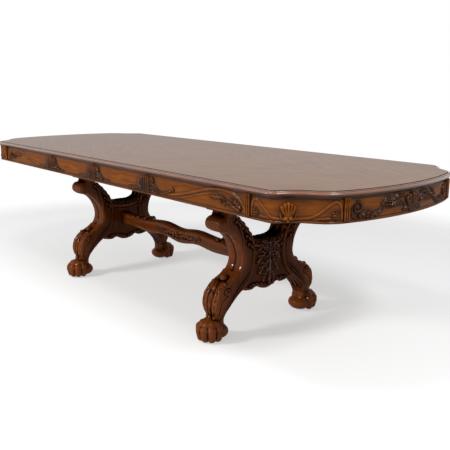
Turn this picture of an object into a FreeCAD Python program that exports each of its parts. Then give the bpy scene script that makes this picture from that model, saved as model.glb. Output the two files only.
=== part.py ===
import FreeCAD, Part
import math
import os
import re
import types

# Extending dining table in the European carved style. Two trestle pedestals with scrolled legs and
# lion paws are tied by a serpentine stretcher. The top is two sliding halves and two loose leaves,
# drawn out with both leaves in. Geared wooden slides under the top keep the halves in step.
# +X runs along the table to its right end, -Y is its front, +Z is up, and the origin is on the
# floor under the middle. The left half is the right half turned by half a turn about +Z.

SIZES = {
    # whole table
    "table_height": 787,
    "table_width": 1080,
    "half_top_length": 960,
    "leaf_length": 457,
    "seam_gap": 0.3,
    # top boards and their moulded edge
    "top_thickness": 22,
    "edge_band_width": 38,
    "edge_lip_height": 13,
    "edge_step": 6,
    # shaped corners of the top, followed from the side to the end
    "nose_radius": 48,
    "flat_length": 6,
    "hollow_radius": 190,
    "shoulder_radius": 169,
    # aprons
    "apron_overhang": 16,
    "apron_thickness": 20,
    "apron_height": 92,
    "bead_height": 8,
    "bead_proud": 4,
    "seam_block_width": 24,
    "seam_block_proud": 5,
    "strip_from_seam": 625,
    "strip_width": 30,
    "strip_proud": 6,
    "reed_radius": 4,
    "shell_width": 60,
    "shell_height": 54,
    "shell_proud": 8,
    "shell_rise": 12,
    "glue_block_length": 90,
    "glue_block_width": 22,
    "glue_block_height": 24,
    # pedestals
    "pedestal_spacing": 1250,
    "leg_thickness": 112,
    "leg_reach": 333,
    "scroll_eye_radius": 24,
    "scroll_eye_proud": 6,
    "knob_radius": 21,
    "paw_ball_radius": 54,
    "paw_width": 122,
    "paw_reach": 380,
    "paw_heel": 257,
    "toe_radius": 17,
    "glide_radius": 14,
    "glide_height": 4,
    "panel_thickness": 84,
    "plaque_width": 112,
    "plaque_height": 200,
    "plaque_rise": 222,
    "plaque_thickness": 12,
    "bearer_length": 610,
    "bearer_width": 90,
    "bearer_height": 107,
    # stretcher
    "stretcher_thickness": 64,
    "stretcher_depth": 78,
    "stretcher_level": 324,
    # slides
    "rail_spread": 200,
    "rail_length": 1440,
    "rail_width": 34,
    "rail_height": 50,
    "rail_drop": 8,
    "runner_length": 1100,
    "runner_overlap": 80,
    "runner_width": 40,
    "runner_height": 50,
    "slide_gap": 0.5,
    "tongue_height": 8,
    "tongue_depth": 6,
    "tongue_drop": 6,
    "tongue_gap": 0.3,
    # rack and pinion
    "gear_module": 2,
    "gear_backlash": 0.3,
    "gear_height": 12,
    "gear_rise": 12,
    "gear_gap": 0.3,
    "rack_lead": 75,
    "rack_tail": 477,
    "rack_web": 5.5,
    "pinion_pin_radius": 4,
    "pin_head_radius": 8,
    "pin_head_height": 3,
    "pin_fit": 0.05,
    # fasteners
    "bolt_radius": 4,
    "bolt_head_radius": 8,
    "bolt_head_height": 6,
    "bolt_grip": 60,
    "bolt_spread": 25,
    "stretcher_bolt_spread": 18,
    "bearer_bolt_place": 250,
    "screw_radius": 2.5,
    "screw_head_radius": 5,
    "screw_head_height": 3,
    "screw_grip": 12,
    "screw_first": 45,
    "screw_pitch": 160,
    "screw_edge": 12,
    "fastener_fit": 0.05,
    # leaf locks
    "lock_place": 50.75,
    "lock_reach": 75,
    "lock_pivot_inset": 45,
    "lock_width": 16,
    "lock_thickness": 4,
    "lock_gap": 0.3,
    "lock_notch": 8,
    "lock_tip": 9,
    "lock_pin_radius": 3,
    "lock_head_radius": 6,
    "lock_head_height": 3,
    "lock_pin_grip": 10,
    # one overrun for all cuts
    "overrun": 5,
}

NOSE_TURN = 62.0
HOLLOW_TURN = 32.0
SHOULDER_TURN = 44.0
PRESSURE_ANGLE = 20.0
GEAR_TEETH = 20
DEDENDUM_SHARE = 1.25
FLANK_SHARES = (0.00, 0.35, 0.70, 1.00)
SCREWS_PER_RUNNER = 4

# Outline of the leg seen along the table, as shares of its reach from the middle and of its height
LEG_OUTER_SHARES = (
    (0.860, 1.000), (0.947, 0.983), (1.000, 0.937), (0.993, 0.886), (0.934, 0.847), (0.847, 0.833),
    (0.757, 0.823), (0.667, 0.790), (0.589, 0.740), (0.535, 0.680), (0.505, 0.617), (0.517, 0.558),
    (0.577, 0.505), (0.679, 0.467), (0.793, 0.437), (0.883, 0.397), (0.940, 0.343), (0.964, 0.283),
    (0.962, 0.230), (0.943, 0.185), (0.925, 0.150), (0.925, 0.120),
)
LEG_INNER_SHARES = (
    (0.790, 0.120), (0.790, 0.160), (0.784, 0.185), (0.757, 0.230), (0.685, 0.280), (0.589, 0.327),
    (0.480, 0.370), (0.384, 0.423), (0.318, 0.487), (0.282, 0.560), (0.270, 0.633), (0.282, 0.700),
    (0.324, 0.763), (0.396, 0.823), (0.486, 0.880), (0.577, 0.927), (0.637, 0.967), (0.655, 1.000),
)
SCROLL_EYE_SHARES = (0.882, 0.915)
KNOB_SHARES = (0.700, 0.487)

# Half outline of the leg seen from the end of the table, as shares of half its thickness and of its
# height: it keeps its full thickness down to the knee and narrows at the ankle
LEG_FRONT_SHARES = (
    (1.000, 1.000), (1.000, 0.290), (0.940, 0.240), (0.740, 0.200), (0.620, 0.165), (0.620, 0.100),
)

# Half outline of the board between the legs, in the same shares; its flanks end inside the legs
PANEL_SHARES = (
    (0.000, 0.727), (0.180, 0.727), (0.300, 0.755), (0.390, 0.783), (0.390, 0.567), (0.450, 0.483),
    (0.600, 0.400), (0.600, 0.358), (0.510, 0.353), (0.390, 0.337), (0.285, 0.333), (0.195, 0.352),
    (0.120, 0.327), (0.000, 0.313),
)

# Half outline of the carved leaf on the board, as shares of half its width and of its height
PLAQUE_SHARES = (
    (0.000, 1.000), (0.380, 0.930), (0.800, 0.760), (0.640, 0.560), (1.000, 0.400), (0.620, 0.170),
    (0.000, 0.000),
)

# Wave of the stretcher's top and bottom, as shares of its half length and of its depth
STRETCHER_TOP_SHARES = (
    (-1.000, 0.560), (-0.760, 0.430), (-0.500, 0.500), (-0.250, 0.640), (0.000, 0.460),
    (0.250, 0.640), (0.500, 0.500), (0.760, 0.430), (1.000, 0.560),
)
STRETCHER_BOTTOM_SHARES = (
    (-1.000, -0.500), (-0.760, -0.440), (-0.500, -0.500), (-0.250, -0.350), (0.000, -0.580),
    (0.250, -0.350), (0.500, -0.500), (0.760, -0.440), (1.000, -0.500),
)

# Places of the paw's toes across its width, and of its knuckles along its run and up its ball
TOE_PLACE_SHARES = (-0.360, -0.120, 0.120, 0.360)
KNUCKLE_SHARES = (0.640, 0.580)

# Height of the middle of the paw's ball above its flat foot, as a share of the ball's radius
PAW_LIFT_SHARE = 0.850

# Heights of the corner shell's five petals as shares of the shell's height
PETAL_HEIGHT_SHARES = (0.620, 0.860, 1.000, 0.860, 0.620)

# Places of a fluted strip's three reeds, as shares of half the strip's width
REED_PLACE_SHARES = (-0.500, 0.000, 0.500)

# Places of the glue blocks along the straight side, as shares of the room that they leave
GLUE_BLOCK_PLACE_SHARES = (0.120, 0.500, 0.880)

doc = FreeCAD.newDocument("extending_dining_table")
sheet = doc.addObject("Spreadsheet::Sheet", "sizes")
for row, (alias, number) in enumerate(SIZES.items(), start=1):
    sheet.set(f"A{row}", alias)
    sheet.set(f"B{row}", str(number))
    sheet.setAlias(f"B{row}", alias)
doc.recompute()
size = types.SimpleNamespace(**{alias: float(sheet.get(alias)) for alias in SIZES})
NAMES = re.compile(r"\b(" + "|".join(sorted(SIZES, key=len, reverse=True)) + r")\b")
PLACES = {"x": "Placement.Base.x", "y": "Placement.Base.y", "z": "Placement.Base.z"}

# Levels and places that several pieces share, as numbers for outlines and as bound expressions
underside = size.table_height - size.top_thickness
rail_bottom = underside - size.rail_drop - size.rail_height
leg_top = rail_bottom - size.bearer_height
half_width = size.table_width / 2
pedestal_place = size.pedestal_spacing / 2
pitch_radius = size.gear_module * GEAR_TEETH / 2
UNDERSIDE = "(table_height - top_thickness)"
RAIL_BOTTOM = "(table_height - top_thickness - rail_drop - rail_height)"
LEG_TOP = "(table_height - top_thickness - rail_drop - rail_height - bearer_height)"
APRON_BOTTOM = "(table_height - top_thickness - apron_height)"
PEDESTAL_PLACE = "(pedestal_spacing / 2)"
RUNNER_BOTTOM = "(table_height - top_thickness - runner_height)"
GEAR_BOTTOM = f"({RAIL_BOTTOM} + gear_rise)"
RUNNER_SIDE = "(rail_width / 2 + slide_gap)"
PITCH_RADIUS = f"(gear_module * {GEAR_TEETH} / 2)"
RUNNER_OUTSIDE = "(rail_spread + rail_width / 2 + slide_gap + runner_width)"
APRON_INSIDE = "(table_width / 2 - apron_overhang - apron_thickness)"

# The locks' pivots lie this side of the middle of the room between runner and apron
LOCK_PLACE = f"(({RUNNER_OUTSIDE} + {APRON_INSIDE}) / 2 - lock_place)"


# Makers of bound objects

def bind(item, **expressions):
    """Tie properties to the sheet; x, y and z stand for the placement."""
    for name, text in expressions.items():
        item.setExpression(PLACES.get(name, name), NAMES.sub(r"sizes.\g<0>", text))
    return item


def box(name, length, width, height, x="0", y="0", z="0"):
    item = doc.addObject("Part::Box", name)
    return bind(item, Length=length, Width=width, Height=height, x=x, y=y, z=z)


def rod(name, radius, height, x="0", y="0", z="0", turn=None):
    """A cylinder along +Z, or turned to lie along another axis."""
    item = doc.addObject("Part::Cylinder", name)
    if turn:
        item.Placement = FreeCAD.Placement(FreeCAD.Vector(), turn)
    return bind(item, Radius=radius, Height=height, x=x, y=y, z=z)


def ball(name, radius, x="0", y="0", z="0"):
    item = doc.addObject("Part::Sphere", name)
    return bind(item, Radius=radius, x=x, y=y, z=z)


def plate(name, edges, thickness, plane="XY_Plane", middle=False, turn=None, **place):
    """A padded sketch: edges is a closed outline, thickness an expression."""
    body = doc.addObject("PartDesign::Body", name)
    sketch = body.newObject("Sketcher::SketchObject", f"{name}_outline")
    base = [item for item in body.Origin.OriginFeatures if item.Role == plane][0]
    sketch.AttachmentSupport = [(base, "")]
    sketch.MapMode = "FlatFace"
    sketch.addGeometry(edges, False)
    pad = body.newObject("PartDesign::Pad", f"{name}_pad")
    pad.Profile = sketch
    if middle:
        pad.SideType = "Symmetric"
    bind(pad, Length=thickness)
    if turn:
        body.Placement = FreeCAD.Placement(FreeCAD.Vector(), turn)
    return bind(body, **place)


def fused(name, items):
    item = doc.addObject("Part::MultiFuse", name)
    item.Shapes = items
    return item


def cut(name, base, tools):
    item = doc.addObject("Part::Cut", name)
    item.Base = base
    item.Tool = tools[0] if len(tools) == 1 else fused(f"{name}_tools", tools)
    return item


def grouped(name, items):
    item = doc.addObject("Part::Compound", name)
    item.Links = items
    return item


def mirrored(name, source):
    """The front piece of a front and back pair."""
    item = doc.addObject("Part::Mirroring", name)
    item.Source = source
    item.Normal = (0, 1, 0)
    return item


def turned(name, source):
    """The left piece of a pair: the right one after half a turn about +Z."""
    item = grouped(name, [source])
    item.Placement = FreeCAD.Placement(FreeCAD.Vector(), FreeCAD.Rotation(FreeCAD.Vector(0, 0, 1), 180))
    return item


def vector(x, y):
    return FreeCAD.Vector(x, y, 0)


def polygon(points):
    ends = points[1:] + points[:1]
    return [Part.LineSegment(start, end) for start, end in zip(points, ends)]


def spline(points):
    curve = Part.BSplineCurve()
    curve.interpolate(points)
    return curve


nodes = {}


def node(name, item):
    """Name a finished piece of the table."""
    item.Label = name
    nodes[name] = item
    return item


# Plan outline of a half top, from the seam along the back side and round the corner to the end.
# Headings are degrees turned from +X towards the end; a stretch is a line or an arc.

def outward(heading):
    angle = math.radians(heading)
    return vector(math.sin(angle), math.cos(angle))


def along(heading):
    angle = math.radians(heading)
    return vector(math.cos(angle), -math.sin(angle))


def arc_stretch(start, radius, heading, end_heading):
    """A convex arc has a positive radius, a hollow one a negative radius."""
    centre = start - outward(heading) * radius
    end = centre + outward(end_heading) * radius
    return {"centre": centre, "radius": radius, "heading": heading, "end_heading": end_heading, "end": end}


def line_stretch(start, end, heading):
    return {"start": start, "heading": heading, "end": end}


def corner_stretches(start):
    hollow_heading = NOSE_TURN - HOLLOW_TURN
    bow_heading = hollow_heading + SHOULDER_TURN
    nose = arc_stretch(start, size.nose_radius, 0, NOSE_TURN)
    flat = line_stretch(nose["end"], nose["end"] + along(NOSE_TURN) * size.flat_length, NOSE_TURN)
    hollow = arc_stretch(flat["end"], -size.hollow_radius, NOSE_TURN, hollow_heading)
    shoulder = arc_stretch(hollow["end"], size.shoulder_radius, hollow_heading, bow_heading)
    bow_radius = shoulder["end"].y / math.cos(math.radians(bow_heading))
    bow = arc_stretch(shoulder["end"], bow_radius, bow_heading, 90)
    return [nose, flat, hollow, shoulder, bow]


seam = vector(size.leaf_length, half_width)
corner_run = corner_stretches(seam)[-1]["end"].x - seam.x
side_end = vector(size.leaf_length + size.half_top_length - corner_run, half_width)
edge_path = [line_stretch(seam, side_end, 0)] + corner_stretches(side_end)
NOSE, FLAT, HOLLOW, SHOULDER, BOW, MIDDLE = range(1, 7)


def edge_point(stretch, share, inset, side=1):
    """A point some share along a stretch, set in from the edge; side -1 is the front."""
    if "centre" in stretch:
        heading = stretch["heading"] + share * (stretch["end_heading"] - stretch["heading"])
        point = stretch["centre"] + outward(heading) * (stretch["radius"] - inset)
    else:
        point = stretch["start"] + (stretch["end"] - stretch["start"]) * share
        point = point - outward(stretch["heading"]) * inset
    return vector(point.x, point.y * side)


def edge_run(first, last, inset, side=1):
    """Edges between two stations; station 3.5 is halfway along the hollow."""
    edges = []
    for index, stretch in enumerate(edge_path):
        low, high = max(first - index, 0), min(last - index, 1)
        if high <= low:
            continue
        shares = (low, (low + high) / 2, high)
        start, middle, end = [edge_point(stretch, share, inset, side) for share in shares]
        edges.append(Part.Arc(start, middle, end) if "centre" in stretch else Part.LineSegment(start, end))
    return edges


def end_point(station, inset, side=1):
    index = min(int(station), len(edge_path) - 1)
    return edge_point(edge_path[index], station - index, inset, side)


def ribbon(first, last, outer, inner):
    """Closed outline of a strip that follows the edge between two insets."""
    closing = [
        Part.LineSegment(end_point(station, outer), end_point(station, inner)) for station in (first, last)]
    return edge_run(first, last, outer) + edge_run(first, last, inner) + closing


def both_sides(first, inset):
    return edge_run(first, MIDDLE, inset) + edge_run(first, MIDDLE, inset, side=-1)


def bowed_ribbon(first, outer, inner):
    """Closed outline of a strip across the end, from one side's station to the other's."""
    closing = [
        Part.LineSegment(end_point(first, outer, side), end_point(first, inner, side)) for side in (1, -1)]
    return both_sides(first, outer) + both_sides(first, inner) + closing


def side_station(x):
    return (x - seam.x) / (side_end.x - seam.x)


def stretch_length(index):
    stretch = edge_path[index]
    if "centre" in stretch:
        return abs(math.radians(stretch["end_heading"] - stretch["heading"]) * stretch["radius"])
    return (stretch["end"] - stretch["start"]).Length


apron_face = size.apron_overhang
apron_back = size.apron_overhang + size.apron_thickness
bead_face = size.apron_overhang - size.bead_proud
strip_station = side_station(seam.x + size.strip_from_seam)
seam_station = side_station(seam.x + size.seam_gap / 2)


# Top board of the right half, blind-drilled from below for its screws and lock pivots

def runner_screw_places():
    return [f"leaf_length + screw_first + {number} * screw_pitch" for number in range(SCREWS_PER_RUNNER)]


RUNNER_CENTRES = ("rail_spread", "-rail_spread")
RUNNER_SCREW_LINE = f"{RUNNER_SIDE} + runner_width - screw_edge"
LOCK_PIVOT_X = "leaf_length + lock_pivot_inset"
LOCK_STUD_X = "leaf_length + lock_pivot_inset - lock_reach"


def runner_screw_rods(name, radius, height, z):
    rods = []
    for centre in RUNNER_CENTRES:
        for place in runner_screw_places():
            rods.append(rod(name, radius, height, x=place, y=f"{centre} + {RUNNER_SCREW_LINE}", z=z))
    return rods


def lock_rods(name, radius, height, x, z):
    return [rod(name, radius, height, x=x, y=f"{side} * {LOCK_PLACE}", z=z) for side in ("1", "-1")]


panel_outline = both_sides(seam_station, size.edge_band_width)
panel_outline.append(Part.LineSegment(
    end_point(seam_station, size.edge_band_width), end_point(seam_station, size.edge_band_width, -1)))
panel_blank = plate("right_top_blank", panel_outline, "top_thickness", z=UNDERSIDE)
panel_holes = runner_screw_rods(
    "panel_screw_hole", "screw_radius + fastener_fit", "screw_grip + overrun", f"{UNDERSIDE} - overrun")
panel_holes += lock_rods(
    "panel_lock_hole", "lock_pin_radius + fastener_fit", "lock_pin_grip + overrun", LOCK_PIVOT_X,
    f"{UNDERSIDE} - overrun")
node("right_top_panel", cut("right_top_panel", panel_blank, panel_holes))


# Moulded edge of the right half: a solid band with an upper lip and a lower step set in

def band_outline(face):
    edges = both_sides(seam_station, face) + both_sides(seam_station, size.edge_band_width)
    for side in (1, -1):
        edges.append(Part.LineSegment(
            end_point(seam_station, face, side), end_point(seam_station, size.edge_band_width, side)))
    return edges


edge_lip = plate("edge_lip", band_outline(0), "edge_lip_height", z="table_height - edge_lip_height")
edge_foot = plate("edge_foot", band_outline(size.edge_step), "top_thickness - edge_lip_height", z=UNDERSIDE)
node("right_edge_moulding", fused("right_edge_moulding", [edge_lip, edge_foot]))


# Aprons of the right half, each a board with a bead along its lower edge

def apron(name, outline, extras=()):
    board = plate(f"{name}_board", outline(apron_face, apron_back), "apron_height", z=APRON_BOTTOM)
    bead = plate(f"{name}_bead", outline(bead_face, apron_back), "bead_height", z=APRON_BOTTOM)
    return fused(name, [board, bead, *extras])


SEAM_BLOCK_Y = "table_width / 2 - apron_overhang - overrun"
seam_block = box(
    "side_seam_block", "seam_block_width", "seam_block_proud + overrun", "apron_height",
    x="leaf_length + seam_gap / 2", y=SEAM_BLOCK_Y, z=APRON_BOTTOM)
side_apron = apron(
    "right_side_apron_back",
    lambda outer, inner: ribbon(seam_station, strip_station, outer, inner),
    [seam_block])
corner_apron = apron(
    "right_corner_apron_back", lambda outer, inner: ribbon(strip_station, BOW, outer, inner))
end_apron = apron("right_end_apron", lambda outer, inner: bowed_ribbon(BOW, outer, inner))
node("right_side_apron_back", side_apron)
node("right_side_apron_front", mirrored("right_side_apron_front", side_apron))
node("right_corner_apron_back", corner_apron)
node("right_corner_apron_front", mirrored("right_corner_apron_front", corner_apron))
node("right_end_apron", end_apron)


# Fluted strips that cover the apron joints: a flat strip with three reeds

STRIP_HEIGHT = "apron_height - bead_height"
STRIP_BOTTOM = f"{APRON_BOTTOM} + bead_height"


def fluted_strip(name, station, before, after):
    """A strip over a joint; before and after are shares of the neighbouring stretches."""
    strip_face = apron_face - size.strip_proud
    outline = ribbon(station - before, station + after, strip_face, apron_face)
    reeds = []
    for share in REED_PLACE_SHARES:
        centre = end_point(station + share * (after if share > 0 else before), strip_face)
        reeds.append(rod(
            f"{name}_reed", "reed_radius", STRIP_HEIGHT, x=f"{centre.x}", y=f"{centre.y}", z=STRIP_BOTTOM))
    return fused(f"{name}_fluted", [plate(name, outline, STRIP_HEIGHT, z=STRIP_BOTTOM), *reeds])


side_share = size.strip_width / 2 / stretch_length(0)
shoulder_share = size.strip_width / 2 / stretch_length(SHOULDER)
bow_share = size.strip_width / 2 / stretch_length(BOW)
side_strip = fluted_strip("side_strip", strip_station, side_share, side_share)
end_strip = fluted_strip("end_strip", BOW, shoulder_share, bow_share)
strips = [side_strip, end_strip]
strips += [mirrored(f"{strip.Name}_front", strip) for strip in strips]
node("right_fluted_strips", grouped("right_fluted_strips", strips))


# Carved shells at the corners, five petals that follow the hollow

def corner_shell(name):
    petal_count = len(PETAL_HEIGHT_SHARES)
    petal_share = size.shell_width / petal_count / stretch_length(HOLLOW)
    petals = []
    for number, height_share in enumerate(PETAL_HEIGHT_SHARES):
        first = HOLLOW + number * petal_share
        outline = ribbon(first, first + petal_share, apron_face - size.shell_proud, apron_face)
        petals.append(plate(
            f"{name}_petal", outline, f"shell_height * {height_share}", z=f"{APRON_BOTTOM} + shell_rise"))
    return fused(name, petals)


shell_back = corner_shell("shell_back")
node("right_corner_shells", grouped("right_corner_shells", [shell_back, mirrored("shell_front", shell_back)]))


# Glue blocks that hold the aprons to the top boards from inside

def glue_block(name, index, place_share):
    """A block along part of a stretch; its place is a share of the room beside it."""
    length_share = size.glue_block_length / stretch_length(index)
    first = index + place_share * (1 - length_share)
    outline = ribbon(first, first + length_share, apron_back, apron_back + size.glue_block_width)
    return plate(name, outline, "glue_block_height", z=f"{UNDERSIDE} - glue_block_height")


SIDE = 0
MIDDLE_SHARE = 0.5
blocks = [glue_block("side_glue_block", SIDE, share) for share in GLUE_BLOCK_PLACE_SHARES]
blocks.append(glue_block("corner_glue_block", HOLLOW, MIDDLE_SHARE))
blocks.append(glue_block("end_glue_block", BOW, MIDDLE_SHARE))
blocks += [mirrored(f"{block.Name}_front", block) for block in blocks]
node("right_corner_blocks", grouped("right_corner_blocks", blocks))


# Slides: each runner is screwed under the half top and grooved for the rail's tongue and its rack

GROOVE_BOTTOM = f"{UNDERSIDE} - rail_drop - tongue_drop - tongue_height - tongue_gap"


def runner(name, centre):
    low_side = f"{centre} + {RUNNER_SIDE}"
    blank = box(
        f"{name}_blank", "runner_length", "runner_width", "runner_height",
        x="-runner_overlap", y=low_side, z=RUNNER_BOTTOM)
    groove = box(
        f"{name}_groove", "runner_length + 2 * overrun", "tongue_depth + tongue_gap + overrun - slide_gap",
        "tongue_height + 2 * tongue_gap", x="-runner_overlap - overrun", y=f"{low_side} - overrun",
        z=GROOVE_BOTTOM)
    rack_seat = box(
        f"{name}_rack_seat", "rack_lead + rack_tail",
        f"{PITCH_RADIUS} + gear_module + rack_web - rail_width / 2 - slide_gap + overrun", "gear_height",
        x="-rack_lead", y=f"{low_side} - overrun", z=GEAR_BOTTOM)
    holes = []
    for place in runner_screw_places():
        line = f"{centre} + {RUNNER_SCREW_LINE}"
        holes.append(rod(
            f"{name}_hole", "screw_radius + fastener_fit", "runner_height + 2 * overrun",
            x=place, y=line, z=f"{RUNNER_BOTTOM} - overrun"))
        holes.append(rod(
            f"{name}_sink", "screw_head_radius + fastener_fit", "screw_head_height + overrun",
            x=place, y=line, z=f"{RUNNER_BOTTOM} - overrun"))
    return cut(name, blank, [groove, rack_seat, *holes])


def rack(name, centre):
    """Straight teeth that point at the pinion, with a gap opposite the pinion's middle."""
    module = size.gear_module
    pitch = math.pi * module
    lean = math.tan(math.radians(PRESSURE_ANGLE))
    half_tooth = pitch / 4 - size.gear_backlash / 4
    tip, root = pitch_radius - module, pitch_radius + DEDENDUM_SHARE * module
    tip_half, root_half = half_tooth - module * lean, half_tooth + DEDENDUM_SHARE * module * lean
    first, last = math.ceil(-size.rack_lead / pitch), math.floor(size.rack_tail / pitch)
    back = pitch_radius + module + size.rack_web
    points = [vector(size.rack_tail, back), vector(-size.rack_lead, back), vector(-size.rack_lead, root)]
    for number in range(first, last):
        middle = (number + 0.5) * pitch
        points += [vector(middle - root_half, root), vector(middle - tip_half, tip)]
        points += [vector(middle + tip_half, tip), vector(middle + root_half, root)]
    points.append(vector(size.rack_tail, root))
    return plate(name, polygon(points), "gear_height", y=centre, z=GEAR_BOTTOM)


for side, centre in (("back", "rail_spread"), ("front", "-rail_spread")):
    node(f"right_runner_{side}", runner(f"right_runner_{side}", centre))
racks = [rack("rack_back", "rail_spread"), rack("rack_front", "-rail_spread")]
node("right_racks", grouped("right_racks", racks))


# Screws of the right half: runner screws up into the top board, and the lock pivots

def headed(name, shanks, heads):
    return [fused(f"{name}_{number}", pair) for number, pair in enumerate(zip(shanks, heads))]


def runner_screws():
    shanks = runner_screw_rods(
        "runner_screw_shank", "screw_radius", "runner_height - screw_head_height + screw_grip",
        f"{RUNNER_BOTTOM} + screw_head_height")
    heads = runner_screw_rods("runner_screw_head", "screw_head_radius", "screw_head_height", RUNNER_BOTTOM)
    return headed("runner_screw", shanks, heads)


LOCK_HEAD_BOTTOM = f"{UNDERSIDE} - 2 * lock_gap - lock_thickness - lock_head_height"


def lock_pins(name, x):
    shanks = lock_rods(
        f"{name}_shank", "lock_pin_radius", "lock_pin_grip + 2 * lock_gap + lock_thickness", x,
        f"{UNDERSIDE} - 2 * lock_gap - lock_thickness")
    heads = lock_rods(f"{name}_head", "lock_head_radius", "lock_head_height", x, LOCK_HEAD_BOTTOM)
    return headed(name, shanks, heads)


node("right_screws", grouped("right_screws", runner_screws() + lock_pins("lock_pivot", LOCK_PIVOT_X)))


# Leaf lock: a flat lever under the top that turns on its pivot until its notch holds the leaf's stud

def lock_lever_outline():
    half, notch, reach = size.lock_width / 2, size.lock_notch / 2, size.lock_reach
    tip = reach + size.lock_tip
    corners = [
        vector(0, -half), vector(tip, -half), vector(tip, half), vector(reach + notch, half),
        vector(reach + notch, 0)]
    edges = [Part.LineSegment(start, end) for start, end in zip(corners, corners[1:])]
    edges.append(Part.Arc(corners[-1], vector(reach, -notch), vector(reach - notch, 0)))
    edges.append(Part.LineSegment(vector(reach - notch, 0), vector(reach - notch, half)))
    edges.append(Part.LineSegment(vector(reach - notch, half), vector(0, half)))
    edges.append(Part.Arc(vector(0, half), vector(-half, 0), vector(0, -half)))
    hole = Part.Circle(vector(0, 0), FreeCAD.Vector(0, 0, 1), size.lock_pin_radius + size.pin_fit)
    return edges + [hole]


lock_back = plate(
    "right_lock_back", lock_lever_outline(), "lock_thickness",
    turn=FreeCAD.Rotation(FreeCAD.Vector(0, 0, 1), 90),
    x=LOCK_PIVOT_X, y=LOCK_PLACE, z=f"{UNDERSIDE} - lock_gap - lock_thickness")
node("right_lock_back", lock_back)
node("right_lock_front", mirrored("right_lock_front", lock_back))


# Right leaf: a board between two moulded edges, with an apron under each edge

LEAF_START = "seam_gap / 2"
LEAF_RUN = "leaf_length - seam_gap"
leaf_blank = box(
    "leaf_blank", LEAF_RUN, "table_width - 2 * edge_band_width", "top_thickness",
    x=LEAF_START, y="edge_band_width - table_width / 2", z=UNDERSIDE)
leaf_holes = lock_rods(
    "leaf_stud_hole", "lock_pin_radius + fastener_fit", "lock_pin_grip + overrun", LOCK_STUD_X,
    f"{UNDERSIDE} - overrun")
node("right_leaf_panel", cut("right_leaf_panel", leaf_blank, leaf_holes))
leaf_lip = box(
    "leaf_lip", LEAF_RUN, "edge_band_width", "edge_lip_height",
    x=LEAF_START, y="table_width / 2 - edge_band_width", z="table_height - edge_lip_height")
leaf_foot = box(
    "leaf_foot", LEAF_RUN, "edge_band_width - edge_step", "top_thickness - edge_lip_height",
    x=LEAF_START, y="table_width / 2 - edge_band_width", z=UNDERSIDE)
leaf_edge = fused("leaf_edge", [leaf_lip, leaf_foot])
node("right_leaf_edges", grouped("right_leaf_edges", [leaf_edge, mirrored("leaf_edge_front", leaf_edge)]))
leaf_apron_parts = [
    box("leaf_apron_board", LEAF_RUN, "apron_thickness", "apron_height",
        x=LEAF_START, y="table_width / 2 - apron_overhang - apron_thickness", z=APRON_BOTTOM),
    box("leaf_apron_bead", LEAF_RUN, "apron_thickness + bead_proud", "bead_height",
        x=LEAF_START, y="table_width / 2 - apron_overhang - apron_thickness", z=APRON_BOTTOM),
]
for end_x in (LEAF_START, "leaf_length - seam_gap / 2 - seam_block_width"):
    leaf_apron_parts.append(box(
        "leaf_seam_block", "seam_block_width", "seam_block_proud + overrun", "apron_height",
        x=end_x, y=SEAM_BLOCK_Y, z=APRON_BOTTOM))
leaf_apron = fused("right_leaf_apron_back", leaf_apron_parts)
node("right_leaf_apron_back", leaf_apron)
node("right_leaf_apron_front", mirrored("right_leaf_apron_front", leaf_apron))
node("right_leaf_studs", grouped("right_leaf_studs", lock_pins("leaf_stud", LOCK_STUD_X)))


# Right pedestal: a board between two scrolled legs with lion paws, under a bearer

def leg_point(shares):
    return vector(shares[0] * size.leg_reach, shares[1] * leg_top)


def leg_outline():
    outer = [leg_point(shares) for shares in LEG_OUTER_SHARES]
    inner = [leg_point(shares) for shares in LEG_INNER_SHARES]
    closing = [Part.LineSegment(outer[-1], inner[0]), Part.LineSegment(inner[-1], outer[0])]
    return [spline(outer), spline(inner), *closing]


ALONG_X = FreeCAD.Rotation(FreeCAD.Vector(0, 1, 0), 90)
paw_run = size.paw_reach - size.paw_heel
PAW_RUN = "(paw_reach - paw_heel)"
PAW_LIFT = f"({PAW_LIFT_SHARE} * paw_ball_radius)"


def leg_front_outline():
    half = [vector(across * size.leg_thickness / 2, up * leg_top) for across, up in LEG_FRONT_SHARES]
    return polygon(half + [vector(-point.x, point.y) for point in reversed(half)])


def paw_parts():
    """A ball cut flat where it stands, and four bent toes."""
    paw_ball = ball(
        "paw_ball", "paw_ball_radius", x=PEDESTAL_PLACE, y="paw_heel + paw_ball_radius",
        z=f"glide_height + {PAW_LIFT}")
    bind(paw_ball, Angle1=f"-asin({PAW_LIFT_SHARE})")
    parts = [paw_ball]
    standing = (1 + PAW_LIFT_SHARE) * size.paw_ball_radius
    knuckle = vector(
        size.paw_heel + KNUCKLE_SHARES[0] * paw_run, size.glide_height + KNUCKLE_SHARES[1] * standing)
    tip = vector(size.paw_reach - size.toe_radius, size.glide_height + size.toe_radius)
    slope = tip - knuckle
    lean = FreeCAD.Rotation(FreeCAD.Vector(0, 0, 1), FreeCAD.Vector(0, slope.x, slope.y))
    for share in TOE_PLACE_SHARES:
        x = f"{PEDESTAL_PLACE} + {share} * paw_width"
        knuckle_y = f"paw_heel + {KNUCKLE_SHARES[0]} * {PAW_RUN}"
        knuckle_z = f"glide_height + {KNUCKLE_SHARES[1]} * (paw_ball_radius + {PAW_LIFT})"
        parts.append(ball("knuckle", "toe_radius", x=x, y=knuckle_y, z=knuckle_z))
        parts.append(rod("toe", "toe_radius", f"{slope.Length}", x=x, y=knuckle_y, z=knuckle_z, turn=lean))
        parts.append(ball(
            "toe_tip", "toe_radius", x=x, y="paw_reach - toe_radius", z="glide_height + toe_radius"))
    return parts


def leg_bolt_rods(name, radius, height, z):
    rods = []
    for along_x in ("+", "-"):
        x = f"{PEDESTAL_PLACE} {along_x} bolt_spread"
        rods.append(rod(name, radius, height, x=x, y="bearer_bolt_place", z=z))
    return rods


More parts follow.
